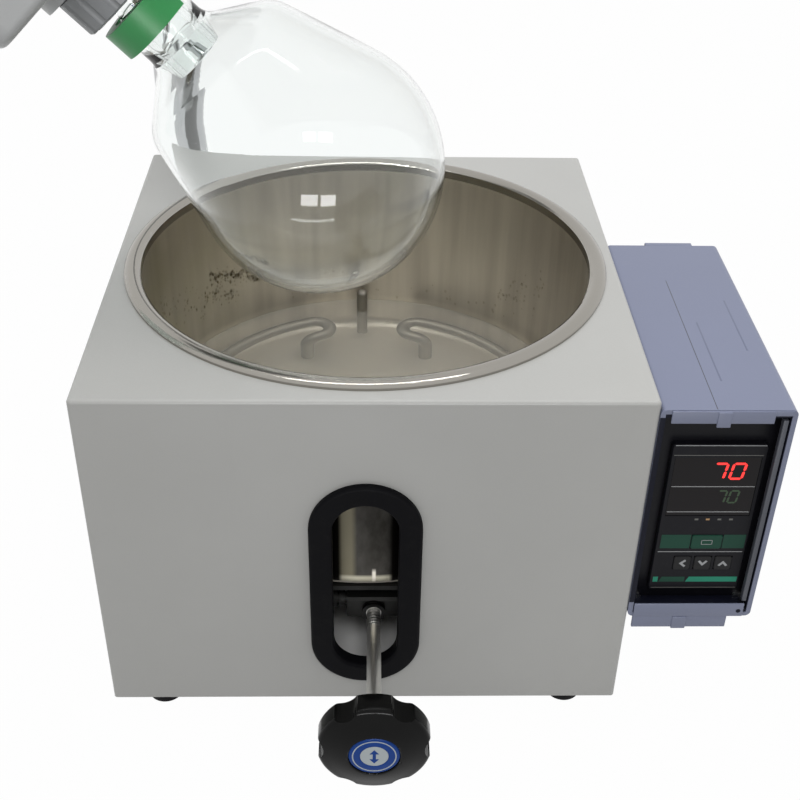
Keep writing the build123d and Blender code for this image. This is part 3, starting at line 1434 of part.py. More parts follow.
def evaporating_flask():
    skin = pear_half(0, FLASK_NECK_END) - pear_half(GLASS_T, FLASK_NECK_END + PAST)
    flask = revolve(Plane.XZ * skin, axis=Axis.Z)
    inner_r = FLASK_NECK_R - SOCKET_STEP
    flask += rod(FLASK_LIP_R, FLASK_NECK_END - FLASK_LIP_T, FLASK_NECK_END, inner_r)
    cone_end_r = CONE_R_OUT + CONE_FIT
    start_r = CONE_R_IN + CONE_FIT
    ends = [(start_r, CONE_START), (cone_end_r, FLASK_NECK_END)]
    socket = turned([(0, CONE_START), *ends, (0, FLASK_NECK_END)])
    filler = rod(inner_r, CONE_START, FLASK_NECK_END) - socket
    return along_shaft(flask + filler)


def vapour_tube():
    collar = FLASK_NECK_END + LOOSE_FIT
    points = [
        (TUBE_BORE_R, CONE_START),
        (CONE_R_IN, CONE_START),
        (CONE_R_OUT, FLASK_NECK_END),
        (TUBE_COLLAR_R, collar),
        (TUBE_COLLAR_R, collar + TUBE_COLLAR_T),
        (TUBE_R + TUBE_COLLAR_EASE, collar + TUBE_COLLAR_T),
        (TUBE_R, collar + TUBE_COLLAR_T + TUBE_COLLAR_EASE),
        (TUBE_R, TUBE_END),
        (TUBE_BORE_R, TUBE_END),
    ]
    return along_shaft(turned(points))


def flask_clip():
    """Spring clip that bridges the flask's lip and the vapour tube's collar."""
    middle = FLASK_NECK_END
    start, end = middle - CLIP_T / 2 - CLIP_LIP, middle + CLIP_T / 2
    grip = turned(
        [
            (FLASK_NECK_R + LOOSE_FIT, start),
            (CLIP_R, start),
            (CLIP_R, end),
            (TUBE_R + CLIP_TUBE_GAP, end),
            (TUBE_R + CLIP_TUBE_GAP, collar_back()),
            (FLASK_LIP_R + LOOSE_FIT, collar_back()),
            (FLASK_LIP_R + LOOSE_FIT, middle - FLASK_LIP_T - LOOSE_FIT),
            (FLASK_NECK_R + LOOSE_FIT, middle - FLASK_LIP_T - LOOSE_FIT),
        ]
    )
    mouth = math.tan(math.radians(CLIP_OPEN_DEG / 2)) * 2 * CLIP_R
    wedge = make_face(Polyline([(0, 0), (2 * CLIP_R, -mouth), (2 * CLIP_R, mouth)], close=True))
    grip -= Pos(0, 0, start - PAST) * extrude(wedge, end - start + 2 * PAST)
    return along_shaft(grip)


def collar_back():
    return FLASK_NECK_END + 2 * LOOSE_FIT + TUBE_COLLAR_T


def vacuum_seal():
    lip = turned(
        [
            (TUBE_R + RUNNING_FIT, SHAFT_END),
            (SEAL_R, SHAFT_END),
            (SEAL_R, SHAFT_END + SEAL_T),
            (TUBE_R + SEAL_LIP, SHAFT_END + SEAL_T),
        ]
    )
    return along_shaft(lip)


def condenser_nut():
    start = SHAFT_END - UNION_NUT_OVERLAP
    flange_back = ARM_TUBE_START + ARM_FLANGE_T
    end = flange_back + UNION_NUT_BACK
    ribbed = lobed_disc(UNION_NUT_R, UNION_NUT_RIBS, UNION_NUT_RIB_DEPTH, end - start)
    nut = Pos(0, 0, start) * ribbed
    nut -= rod(UNION_NUT_R - UNION_NUT_WALL + LOOSE_FIT, start - PAST, flange_back + LOOSE_FIT)
    nut -= rod(ARM_TUBE_R + LOOSE_FIT, start - PAST, end + PAST)
    return along_shaft(nut)


def speed_knob():
    knob = grip_knob(SPEED_KNOB_R, SPEED_KNOB_T, SPEED_STEM_R, HEAD_WALL + SIDE_PLAY)
    place = Pos(SPEED_KNOB_UP, -HEAD_HALF_W - SIDE_PLAY, SPEED_KNOB_ALONG) * Rot(90, 0, 0)
    return along_shaft(place * knob)


def condenser_shape(grow):
    """Upright body, outlet and side arm; grow is 0 for the outside and minus the wall for the bore."""
    radius = CONDENSER_R + grow
    outlet = OUTLET_R + grow
    low = CONDENSER_BOTTOM_Z - grow
    top = CONDENSER_TOP_Z + grow
    foot = OUTLET_BOTTOM_Z - (BORE_PAST if grow else 0)
    points = [
        (0, foot),
        (outlet, foot),
        (outlet, low - FUNNEL_BOTTOM),
        (radius - FUNNEL_STEP, low - FUNNEL_LOW),
        (radius, low + FUNNEL_TOP),
        (radius, top - CONDENSER_DOME_H),
        (radius - DOME_SHOULDER, top - DOME_SHOULDER_DROP),
        (radius - DOME_FLAT, top),
        (0, top),
    ]
    body = Pos(CONDENSER_X, FLASK_Y, 0) * turned(points)
    start = ARM_TUBE_START - (ARM_BORE_PAST if grow else 0)
    body += along_shaft(rod(ARM_TUBE_R + grow, start, ARM_MEETS_CONDENSER))
    return body


def condenser_band(low, high):
    """Square band around the condenser's axis, as wide as the ball joint needs."""
    half = 2 * CUP_OUT_R
    return block(CONDENSER_X - half, CONDENSER_X + half, FLASK_Y - half, FLASK_Y + half, low, high)


def stopcock_place():
    """Feed stopcock on the upper side of the side arm, along the shaft frame's X axis."""
    return Pos(0, 0, STOPCOCK_ALONG) * Rot(0, 90, 0)


def condenser():
    glass = condenser_shape(0)
    glass += along_shaft(rod(ARM_FLANGE_R, ARM_TUBE_START, ARM_TUBE_START + ARM_FLANGE_T))
    ball = Pos(CONDENSER_X, FLASK_Y, OUTLET_BOTTOM_Z) * Sphere(BALL_R)
    ball &= condenser_band(OUTLET_BOTTOM_Z - BALL_R + BALL_FLAT, OUTLET_BOTTOM_Z + BALL_R)
    glass += ball
    port_y = FLASK_Y + CONDENSER_R
    root_end = port_y + HOSE_ROOT_L
    glass += rod_y(HOSE_ROOT_R, CONDENSER_X, VACUUM_PORT_Z, port_y - HOSE_ROOT_SINK, root_end)
    glass += rod_y(HOSE_R, CONDENSER_X, VACUUM_PORT_Z, root_end, root_end + HOSE_L)
    stem_top = ARM_TUBE_R + STOPCOCK_STEM_L + STOPCOCK_BARREL_R
    stem_end = stem_top + FEED_STEM_OVER
    glass += along_shaft(stopcock_place() * rod(HOSE_R, ARM_TUBE_R - FEED_STEM_SINK, stem_end))
    barrel = Pos(ARM_TUBE_R + STOPCOCK_STEM_L, 0, STOPCOCK_ALONG) * Rot(90, 0, 0)
    half = STOPCOCK_BARREL_L / 2
    glass += along_shaft(barrel * rod(STOPCOCK_BARREL_R, -half, half))
    glass -= condenser_shape(-CONDENSER_T)
    bore_r = OUTLET_R - CONDENSER_T
    ends = (OUTLET_BOTTOM_Z - BORE_PAST, OUTLET_BOTTOM_Z + ARM_BORE_PAST)
    glass -= Pos(CONDENSER_X, FLASK_Y, 0) * rod(bore_r, *ends)
    glass -= rod_y(HOSE_BORE_R, CONDENSER_X, VACUUM_PORT_Z, FLASK_Y, root_end + HOSE_L + PAST)
    glass -= along_shaft(stopcock_place() * rod(HOSE_BORE_R, 0, stem_end + PAST))
    glass -= along_shaft(barrel * rod(PLUG_R + RUNNING_FIT, -half - PAST, half + PAST))
    for x, y in coil_legs():
        glass -= Pos(x, y, CONDENSER_TOP_Z) * Cylinder(COIL_TUBE_R + LOOSE_FIT, 5 * CONDENSER_T)
    return glass


def coil_legs():
    return [(CONDENSER_X + COIL_R, FLASK_Y), (CONDENSER_X, FLASK_Y)]


def cooling_coil():
    height = COIL_PITCH * COIL_TURNS
    path = Helix(pitch=COIL_PITCH, height=height, radius=COIL_R)
    section = Plane(origin=path @ 0, z_dir=path % 0) * Circle(COIL_TUBE_R)
    coil = sweep(section, path=path, is_frenet=True)
    top = CONDENSER_TOP_Z + COIL_TOP_REACH - COIL_BOTTOM_Z
    coil += Pos(COIL_R, 0, height) * Sphere(COIL_TUBE_R)
    coil += Pos(COIL_R, 0, 0) * rod(COIL_TUBE_R, height, top)
    coil += Pos(COIL_R, 0, 0) * Sphere(COIL_TUBE_R)
    coil += rod_x(COIL_TUBE_R, 0, 0, 0, COIL_R)
    coil += Sphere(COIL_TUBE_R)
    coil += rod(COIL_TUBE_R, 0, top)
    for x in (0, COIL_R):
        coil += Pos(x, 0, 0) * rod(HOSE_R, top - HOSE_L, top)
        coil -= Pos(x, 0, 0) * rod(COIL_BORE_R, top - HOSE_L, top + PAST)
    return Pos(CONDENSER_X, FLASK_Y, COIL_BOTTOM_Z) * coil


def feed_stopcock():
    half = STOPCOCK_BARREL_L / 2
    collar = -half - PLUG_COLLAR_L
    plug = rod(PLUG_R, collar, half + PLUG_END)
    plug -= Rot(0, 90, 0) * Cylinder(HOSE_BORE_R * PLUG_HOLE_SHARE, 4 * PLUG_R)
    plug += rod(PLUG_R + PLUG_COLLAR_W, collar - PLUG_HANDLE_T, -half - SIDE_PLAY)
    handle = Box(PLUG_HANDLE_T, PLUG_HANDLE_W, PLUG_HANDLE_T)
    handle = fillet(handle.edges().filter_by(Axis.X), PLUG_HANDLE_ROUND)
    plug += Pos(0, 0, collar - PLUG_HANDLE_T) * handle
    place = Pos(ARM_TUBE_R + STOPCOCK_STEM_L, 0, STOPCOCK_ALONG) * Rot(-90, 0, 0)
    return along_shaft(place * plug)


def receiving_flask():
    neck_end = OUTLET_BOTTOM_Z - CUP_DROP - RECEIVER_Z
    flask = round_flask(FLASK_R, RECEIVER_NECK_R, neck_end, FLASK_NECK_BLEND, GLASS_T)
    flask = Pos(CONDENSER_X, FLASK_Y, RECEIVER_Z) * flask
    centre = Pos(CONDENSER_X, FLASK_Y, OUTLET_BOTTOM_Z)
    cup = centre * Sphere(CUP_OUT_R) - centre * Sphere(CUP_R)
    cup &= condenser_band(OUTLET_BOTTOM_Z - CUP_OUT_R - PAST, OUTLET_BOTTOM_Z - CUP_RIM_DROP)
    bore_low = OUTLET_BOTTOM_Z - CUP_DROP - CUP_BORE_L
    bore = rod(RECEIVER_NECK_R - GLASS_T, bore_low, bore_low + CUP_BORE_L + CUP_RIM_DROP)
    cup -= Pos(CONDENSER_X, FLASK_Y, 0) * bore
    return flask + cup


def ball_clamp():
    """Fork clamp around the ball joint: a lower and an upper ring joined by a screw post."""
    centre = Pos(CONDENSER_X, FLASK_Y, 0)
    low = OUTLET_BOTTOM_Z - CLAMP_DROP
    high = OUTLET_BOTTOM_Z + CLAMP_RISE
    top = high + BALL_CLAMP_T
    ring_low = rod(BALL_CLAMP_R, low, low + BALL_CLAMP_T, CUP_OUT_R + LOOSE_FIT)
    ring_high = rod(BALL_CLAMP_R, high, top, BALL_R - CLAMP_GRIP_DEPTH)
    post = Pos(0, BALL_CLAMP_R + CLAMP_POST_OUT, 0)
    strut = Pos(0, CLAMP_STRUT_IN - BALL_CLAMP_R, 0)
    frame = ring_low + ring_high
    frame += post * rod(CLAMP_POST_R, low, top)
    frame += post * rod(CLAMP_KNOB_R, top, top + CLAMP_KNOB_H)
    frame += strut * rod(CLAMP_STRUT_R, low, top)
    return centre * frame


NODES = {
    "base_plate": base_plate,
    "rubber_feet": rubber_feet,
    "column": column,
    "column_flange": column_flange,
    "jack_pedestal": jack_pedestal,
    "lower_rivets": lower_rivets,
    "lower_front_arm": lambda: jack_arm(front=True, lower=True),
    "lower_rear_arm": lambda: jack_arm(front=False, lower=True),
    "upper_front_arm": lambda: jack_arm(front=True, lower=False),
    "upper_rear_arm": lambda: jack_arm(front=False, lower=False),
    "front_trunnion": lambda: trunnion(front=True),
    "rear_trunnion": lambda: trunnion(front=False),
    "jack_screw": jack_screw,
    "star_knob": star_knob,
    "knob_cap": knob_cap,
    "jack_top_bracket": jack_top_bracket,
    "upper_rivets": upper_rivets,
    "bath_housing": bath_housing,
    "slot_grommet": slot_grommet,
    "basin": basin,
    "heater": heater,
    "floor_nuts": floor_nuts,
    "temperature_probe": temperature_probe,
    "case_left": lambda: case_half(left=True),
    "case_right": lambda: case_half(left=False),
    "case_bezel": case_bezel,
    "case_rear_plate": case_rear_plate,
    "case_screws": case_screws,
    "controller_case": controller_case,
    "controller_face": controller_face,
    "display_window": display_window,
    "set_key": lambda: key("set_key"),
    "left_key": lambda: key("left_key"),
    "down_key": lambda: key("down_key"),
    "up_key": lambda: key("up_key"),
    "power_inlet": power_inlet,
    "power_switch": power_switch,
    "switch_rocker": rocker,
    "carriage": carriage,
    "carriage_knob": carriage_knob,
    "tilt_knob": tilt_knob,
    "head_housing": head_housing,
    "head_cover": head_cover,
    "shaft_bearings": shaft_bearings,
    "drive_motor": drive_motor,
    "pinion": pinion,
    "driven_gear": driven_gear,
    "hollow_shaft": hollow_shaft,
    "chuck_nut": chuck_nut,
    "evaporating_flask": evaporating_flask,
    "vapour_tube": vapour_tube,
    "flask_clip": flask_clip,
    "vacuum_seal": vacuum_seal,
    "condenser_nut": condenser_nut,
    "speed_knob": speed_knob,
    "condenser": condenser,
    "cooling_coil": cooling_coil,
    "feed_stopcock": feed_stopcock,
    "receiving_flask": receiving_flask,
    "ball_clamp": ball_clamp,
}

os.makedirs("parts", exist_ok=True)
TO_MODEL = Location((-ORIGIN_X, -ORIGIN_Y, BENCH_DROP))
for node, build in NODES.items():
    export_step(TO_MODEL * build(), f"parts/{node}.step")
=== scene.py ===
"""Looks of a bench rotary evaporator with its heated bath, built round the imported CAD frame."""
import logging
import math
import random
from dataclasses import dataclass
from enum import Enum
from typing import ClassVar, Optional, Sequence

import bpy
from mathutils import Matrix, Vector


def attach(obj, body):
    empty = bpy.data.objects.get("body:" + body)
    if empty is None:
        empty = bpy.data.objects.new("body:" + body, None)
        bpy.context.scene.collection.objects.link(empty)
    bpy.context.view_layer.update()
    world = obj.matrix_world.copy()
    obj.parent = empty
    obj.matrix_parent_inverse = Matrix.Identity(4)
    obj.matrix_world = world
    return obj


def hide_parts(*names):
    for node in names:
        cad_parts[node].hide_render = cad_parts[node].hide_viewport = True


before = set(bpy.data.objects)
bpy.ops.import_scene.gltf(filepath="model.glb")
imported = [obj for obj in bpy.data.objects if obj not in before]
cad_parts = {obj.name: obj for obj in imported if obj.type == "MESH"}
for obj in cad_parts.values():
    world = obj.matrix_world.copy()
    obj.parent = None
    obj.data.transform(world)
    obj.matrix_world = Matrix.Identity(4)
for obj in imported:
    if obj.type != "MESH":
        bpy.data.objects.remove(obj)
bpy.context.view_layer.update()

LOG = logging.getLogger("rotary_evaporator")
MM = 0.001
MACHINE_ORIGIN = Vector((0.076, -0.158, 0.010))
BASIN_RADIUS = 125.0
BASIN_Y = 142.5
SCREW_X, SCREW_Z = 4.5, 50.5
FLASK_CENTRE = (-25, 118, 267)
Point = tuple[float, float]
Triple = tuple[float, float, float]
Colour = Triple
Profile = Sequence[Point]
Piece = bpy.types.Object
Socket = bpy.types.NodeSocket


# Places

def at(x: float, y: float, z: float) -> Vector:
    """Turns machine millimetres into a point of the frame, in metres.

    Machine x runs from the bath's middle, y from the housing's front, z from its bottom.
    """
    return MACHINE_ORIGIN + Vector((x, y, z)) * MM


def upright(x: float, y: float, z: float) -> Matrix:
    """The place of a piece that stands upright with its foot at a point."""
    return Matrix.Translation(at(x, y, z))


def facing_front(x: float, y: float, z: float) -> Matrix:
    """The place of a piece whose local Z looks out of the machine's front."""
    turn = Matrix(((1, 0, 0, 0), (0, 0, -1, 0), (0, 1, 0, 0), (0, 0, 0, 1)))
    return Matrix.Translation(at(x, y, z)) @ turn


def on_shaft() -> Matrix:
    """The place of the shaft, tilted by 45 degrees: local Z runs up along it."""
    h = math.sqrt(0.5)
    turn = Matrix(((h, 0, -h, 0), (0, 1, 0, 0), (h, 0, h, 0), (0, 0, 0, 1)))
    return Matrix.Translation(at(*FLASK_CENTRE)) @ turn


# Mesh work

def clear_selection() -> None:
    """Deselects every object."""
    bpy.ops.object.select_all(action="DESELECT")


def take(piece: Piece) -> None:
    """Makes one piece the only one selected and the active one."""
    clear_selection()
    piece.select_set(True)
    bpy.context.view_layer.objects.active = piece


def new_piece(name: str) -> Piece:
    """Names the active object and its mesh."""
    piece = bpy.context.object
    piece.name = piece.data.name = name
    return piece


def settle(piece: Piece, place: Matrix) -> Piece:
    """Puts a piece in its place and leaves its object at the origin."""
    take(piece)
    piece.matrix_world = place
    bpy.ops.object.transform_apply()
    return piece


def finish_mesh() -> None:
    """Merges doubled points, turns the normals outwards and leaves edit mode."""
    bpy.ops.mesh.select_all(action="SELECT")
    bpy.ops.mesh.remove_doubles(threshold=1e-6)
    bpy.ops.mesh.normals_make_consistent(inside=False)
    bpy.ops.object.mode_set(mode="OBJECT")


def drawn(name: str, points: Sequence[Vector]) -> Piece:
    """Draws a line point by point and leaves it selected in edit mode.

    Args:
        name: The piece's name.
        points: The line's points, in metres.

    Returns:
        The line.
    """
    clear_selection()
    bpy.ops.mesh.primitive_plane_add(size=MM)
    piece = new_piece(name)
    bpy.ops.object.mode_set(mode="EDIT")
    bpy.ops.mesh.select_mode(type="VERT")
    bpy.ops.mesh.select_all(action="SELECT")
    bpy.ops.mesh.merge(type="CENTER")
    bpy.ops.transform.translate(value=points[0])
    for a, b in zip(points, points[1:]):
        bpy.ops.mesh.extrude_vertices_move(TRANSFORM_OT_translate={"value": b - a})
    bpy.ops.mesh.select_all(action="SELECT")
    return piece


def turned(name: str, profile: Profile, place: Matrix, steps: int = 96,
           closed: bool = False) -> Piece:
    """Makes a turned piece by spinning its profile.

    Args:
        name: The piece's name.
        profile: Radius and height of each point, in millimetres.
        place: Where the local Z axis lies.
        steps: Steps of the full turn.
        closed: Joins the last point to the first, for a ring.

    Returns:
        The finished mesh.
    """
    points = [Vector((r * MM, 0, z * MM)) for r, z in profile]
    piece = drawn(name, points + points[:1] if closed else points)
    bpy.ops.mesh.spin(steps=steps, angle=2 * math.pi, center=(0, 0, 0), axis=(0, 0, 1))
    finish_mesh()
    return settle(piece, place)


def arc(centre: Point, radius: float, start: float, end: float, steps: int) -> list[Point]:
    """Points of an arc in a profile, from the start angle to the end angle in degrees."""
    angles = [math.radians(start + (end - start) * i / steps) for i in range(steps + 1)]
    return [(centre[0] + radius * math.cos(a), centre[1] + radius * math.sin(a)) for a in angles]


def rounded(before: Point, corner: Point,
            after: Point, radius: float, steps: int = 8) -> list[Point]:
    """Points of the arc that rounds a corner of a profile.

    Args:
        before: A point on the line that comes in.
        corner: The sharp corner.
        after: A point on the line that goes out.
        radius: The arc's radius, in millimetres.
        steps: How many parts it has.

    Returns:
        The arc's points, in order.
    """
    tip = Vector(corner)
    inward, outward = (Vector(before) - tip).normalized(), (Vector(after) - tip).normalized()
    half = inward.angle(outward) / 2
    centre = tip + (inward + outward).normalized() * (radius / math.sin(half))
    start = tip + inward * (radius / math.tan(half)) - centre
    end = tip + outward * (radius / math.tan(half)) - centre
    first = math.degrees(math.atan2(start.y, start.x))
    sweep = (math.degrees(math.atan2(end.y, end.x)) - first + 180) % 360 - 180
    return arc((centre.x, centre.y), radius, first, first + sweep, steps)


def plate_of(name: str, outline: Profile, thickness: float, place: Matrix) -> Piece:
    """A thin plate: its outline, filled and extruded.

    Args:
        name: The piece's name.
        outline: Its corners in local X and Y, in millimetres.
        thickness: How far it goes along local Z, in millimetres.
        place: Where its local frame lies.

    Returns:
        The piece.
    """
    piece = drawn(name, [Vector((x * MM, y * MM, 0)) for x, y in outline])
    bpy.ops.mesh.edge_face_add()
    bpy.ops.mesh.extrude_region_move(TRANSFORM_OT_translate={"value": (0, 0, thickness * MM)})
    finish_mesh()
    return settle(piece, place)


def use_modifier(piece: Piece, kind: str, **settings: object) -> None:
    """Adds a modifier with its settings and applies it."""
    take(piece)
    modifier = piece.modifiers.new(kind.lower(), kind)
    for key, value in settings.items():
        setattr(modifier, key, value)
    bpy.ops.object.modifier_apply(modifier=modifier.name)


def cut_away(piece: Piece, tool: Piece) -> None:
    """Cuts one piece's room out of another and removes the tool."""
    use_modifier(piece, "BOOLEAN", operation="DIFFERENCE", solver="EXACT", object=tool)
    bpy.data.objects.remove(tool)


def joined(name: str, pieces: Sequence[Piece]) -> Piece:
    """Joins meshes into one piece of that name."""
    clear_selection()
    for piece in pieces:
        piece.select_set(True)
    bpy.context.view_layer.objects.active = pieces[0]
    bpy.ops.object.join()
    return new_piece(name)


# Finishes

def lighter(colour: Colour, share: float) -> Colour:
    """A colour made lighter, or darker with a share below 1."""
    return tuple(min(1.0, c * share) for c in colour)


class Shader:
    """A material or world being wired, with short names for the nodes that it uses."""

    def __init__(self, name: str, world: bool = False) -> None:
        """Starts an empty tree that reads the piece's own place.

        Args:
            name: The material's or the world's name.
            world: True for a world.
        """
        self.owner = (bpy.data.worlds if world else bpy.data.materials).new(name)
        self.owner.use_nodes = True
        self.tree = self.owner.node_tree
        self.tree.nodes.clear()
        self.place = self.node("ShaderNodeTexCoord").outputs["Object"]
        self.output = "ShaderNodeOutputWorld" if world else "ShaderNodeOutputMaterial"

    def node(self, kind: str, **settings: object) -> bpy.types.Node:
        """Adds a node with its settings."""
        made = self.tree.nodes.new(kind)
        for key, value in settings.items():
            setattr(made, key, value)
        return made

    def feed(self, socket: Socket, value: object) -> None:
        """Links a socket to another, or sets its value.

        Args:
            socket: The input.
            value: An output socket, a number or a colour.
        """
        if isinstance(value, Socket):
            self.tree.links.new(value, socket)
        elif isinstance(value, tuple) and len(value) == 3 and socket.type == "RGBA":
            socket.default_value = (*value, 1.0)
        else:
            socket.default_value = value

    def wired(self, kind: str, values: dict[str | int, object], output: str | int = 0,
              **settings: object) -> Socket:
        """Adds a node, feeds its inputs and hands over one output.

        Args:
            kind: The node's type.
            values: What goes into each input, by its name or number.
            output: The output's name or number.
            settings: The node's own settings.

        Returns:
            The output.
        """
        made = self.node(kind, **settings)
        for key, value in values.items():
            self.feed(made.inputs[key], value)
        return made.outputs[output]

    def stretched(self, scale: Triple) -> Socket:
        """The place, stretched along the axes."""
        return self.wired("ShaderNodeMapping", {"Vector": self.place, "Scale": scale})

    def seen_from(self, centre: Vector) -> Sequence[Socket]:
        """The distances across, back and up from a centre, in metres."""
        shifted = self.wired("ShaderNodeVectorMath", {0: self.place, 1: centre},
                             operation="SUBTRACT")
        made = self.node("ShaderNodeSeparateXYZ")
        self.feed(made.inputs[0], shifted)
        return made.outputs

    def length(self, a: object, b: object) -> Socket:
        """The long side of a right-angled triangle with the short sides a and b."""
        return self.sum("SQRT", self.plus(self.times(a, a), self.times(b, b)))

    def round_axis(self, centre: Vector, along: float, around: float) -> Socket:
        """Coordinates round an upright axis, for streaks that run down a wall.

        Args:
            centre: A point of the axis.
            along: Scale of the height.
            around: Scale of the angle.

        Returns:
            Angle and height as a vector.
        """
        across, back, up = self.seen_from(centre)
        angle = self.sum("ARCTAN2", back, across)
        values = {0: self.times(angle, around), 1: self.times(up, along)}
        return self.wired("ShaderNodeCombineXYZ", values)

    def noise(self, vector: Socket, scale: float, detail: float = 3.0,
              roughness: float = 0.5) -> Socket:
        """A cloudy pattern from 0 to 1."""
        values = {"Vector": vector, "Scale": scale, "Detail": detail, "Roughness": roughness}
        return self.wired("ShaderNodeTexNoise", values)

    def cells(self, scale: float) -> Socket:
        """The distance to the nearest of scattered points."""
        values = {"Vector": self.place, "Scale": scale}
        return self.wired("ShaderNodeTexVoronoi", values, "Distance")

    def sum(self, operation: str, a: object, b: object = 0.0) -> Socket:
        """One sum of two numbers."""
        return self.wired("ShaderNodeMath", {0: a, 1: b}, operation=operation)

    def times(self, a: object, b: object) -> Socket:
        """One number times another."""
        return self.sum("MULTIPLY", a, b)

    def plus(self, a: object, b: object) -> Socket:
        """Two numbers together."""
        return self.sum("ADD", a, b)

    def apart(self, a: object, b: object) -> Socket:
        """How far two numbers lie apart."""
        return self.sum("ABSOLUTE", self.sum("SUBTRACT", a, b))

    def spread(self, value: Socket, low: float, high: float,
               start: float = 0.0, end: float = 1.0) -> Socket:
        """Maps start to end onto low to high, and holds the result between them."""
        values = {"Value": value, "From Min": start, "From Max": end, "To Min": low, "To Max": high}
        return self.wired("ShaderNodeMapRange", values)

    def blend(self, factor: object, a: object, b: object) -> Socket:
        """Mixes two colours by a factor."""
        return self.wired("ShaderNodeMix", {0: factor, 6: a, 7: b}, 2, data_type="RGBA")

    def clouded(self, pattern: Socket, colour: Colour, dark: float, light: float) -> Socket:
        """A colour that a pattern carries between two shares of itself."""
        return self.blend(self.spread(pattern, 0, 1, 0.3, 0.7), lighter(colour, dark),
                          lighter(colour, light))

    def bump(self, height: Socket, depth: float, strength: float = 1.0,
             under: Optional[Socket] = None) -> Socket:
        """Raises the surface by a pattern, with the depth in millimetres."""
        values = {"Distance": depth * MM, "Strength": strength, "Height": height}
        if under is not None:
            values["Normal"] = under
        return self.wired("ShaderNodeBump", values)

    def surface(self, **values: object) -> Socket:
        """A Principled surface; underscores in the names stand for spaces."""
        inputs = {key.replace("_", " "): value for key, value in values.items()}
        return self.wired("ShaderNodeBsdfPrincipled", inputs)

    def mixed(self, share: Socket, a: Socket, b: Socket) -> Socket:
        """Mixes two shaders by the second one's share."""
        return self.wired("ShaderNodeMixShader", {0: share, 1: a, 2: b})

    def clear_to_lamps(self, shader: Socket, tint: Colour) -> Socket:
        """Lets the lamps' light through a clear surface, a little tinted."""
        shadow = self.node("ShaderNodeLightPath").outputs["Is Shadow Ray"]
        return self.mixed(shadow, shader, self.wired("ShaderNodeBsdfTransparent", {0: tint}))

    def shown(self) -> Socket:
        """One for rays that show the backdrop: from the camera, gloss or through glass."""
        rays = self.node("ShaderNodeLightPath").outputs
        direct = self.sum("MAXIMUM", rays["Is Camera Ray"], rays["Is Glossy Ray"])
        return self.sum("MAXIMUM", direct, rays["Is Transmission Ray"])

    def done(self, shader: Socket) -> bpy.types.ID:
        """Joins the shader to the output and hands the material or world over."""
        self.feed(self.node(self.output).inputs["Surface"], shader)
        return self.owner


@dataclass(frozen=True)
class Paint:
    """Sprayed paint on metal: orange peel, faint cloudiness, rubbed patches and dust."""

    name: str
    colour: Colour
    roughness: float = 0.42
    peel: float = 0.035
    cloud: float = 0.05
    rub: float = 0.06

    def made(self) -> bpy.types.Material:
        """Builds the material."""
        s = Shader(self.name)
        cloud = s.noise(s.place, 7, 4)
        speck = s.noise(s.place, 1500, 2)
        rubbed = s.spread(s.noise(s.stretched((1, 1, 0.25)), 60, 5, 0.65), 0, 1, 0.60, 0.78)
        base = s.clouded(cloud, self.colour, 1 - self.cloud, 1 + self.cloud)
        base = s.blend(s.spread(speck, 0, 0.10, 0.35, 0.7), base, lighter(self.colour, 1.25))
        base = s.blend(s.times(rubbed, self.rub), base, lighter(self.colour, 0.7))
        rough = s.plus(s.spread(cloud, self.roughness - 0.05, self.roughness + 0.05),
                       s.times(rubbed, -0.08))
        peel = s.bump(s.noise(s.place, 620, 2, 0.4), self.peel, 0.8)
        normal = s.bump(speck, 0.012, 0.6, peel)
        return s.done(s.surface(Base_Color=base, Roughness=rough, Normal=normal,
                                Coat_Weight=0.15, Coat_Roughness=0.25))


class Brushing(Enum):
    """Which way the fine lines of a metal run."""

    NONE = (1.0, 1.0, 1.0)
    ALONG_Z = (1.0, 1.0, 0.03)
    ROUND_Z = (0.06, 0.06, 1.0)


@dataclass(frozen=True)
class Metal:
    """Bare or blackened metal with brushing lines, smudges and small stains."""

    name: str
    colour: Colour
    roughness: float
    brushing: Brushing = Brushing.NONE
    lines: float = 0.02
    stain: Colour = (0.20, 0.17, 0.13)
    stains: float = 0.12
    metallic: float = 1.0

    def made(self) -> bpy.types.Material:
        """Builds the material."""
        s = Shader(self.name)
        line = s.noise(s.stretched(self.brushing.value), 2600, 3, 0.6)
        smudge = s.noise(s.place, 28, 5, 0.6)
        patch = s.spread(s.noise(s.place, 55, 6, 0.7), 0, self.stains, 0.55, 0.75)
        pits = s.spread(s.cells(420), 1, 0, 0.05, 0.16)
        base = s.clouded(line, self.colour, 0.90, 1.08)
        base = s.blend(patch, base, self.stain)
        base = s.blend(s.times(pits, 0.25), base, lighter(self.stain, 0.6))
        rough = s.plus(s.spread(smudge, self.roughness * 0.8, self.roughness * 1.35),
                       s.spread(line, -0.04, 0.04))
        normal = s.bump(line, self.lines, 0.7)
        normal = s.bump(pits, -0.02, 0.4, normal)
        return s.done(s.surface(Base_Color=base, Metallic=self.metallic, Roughness=rough,
                                Normal=normal, Anisotropic=0.35))


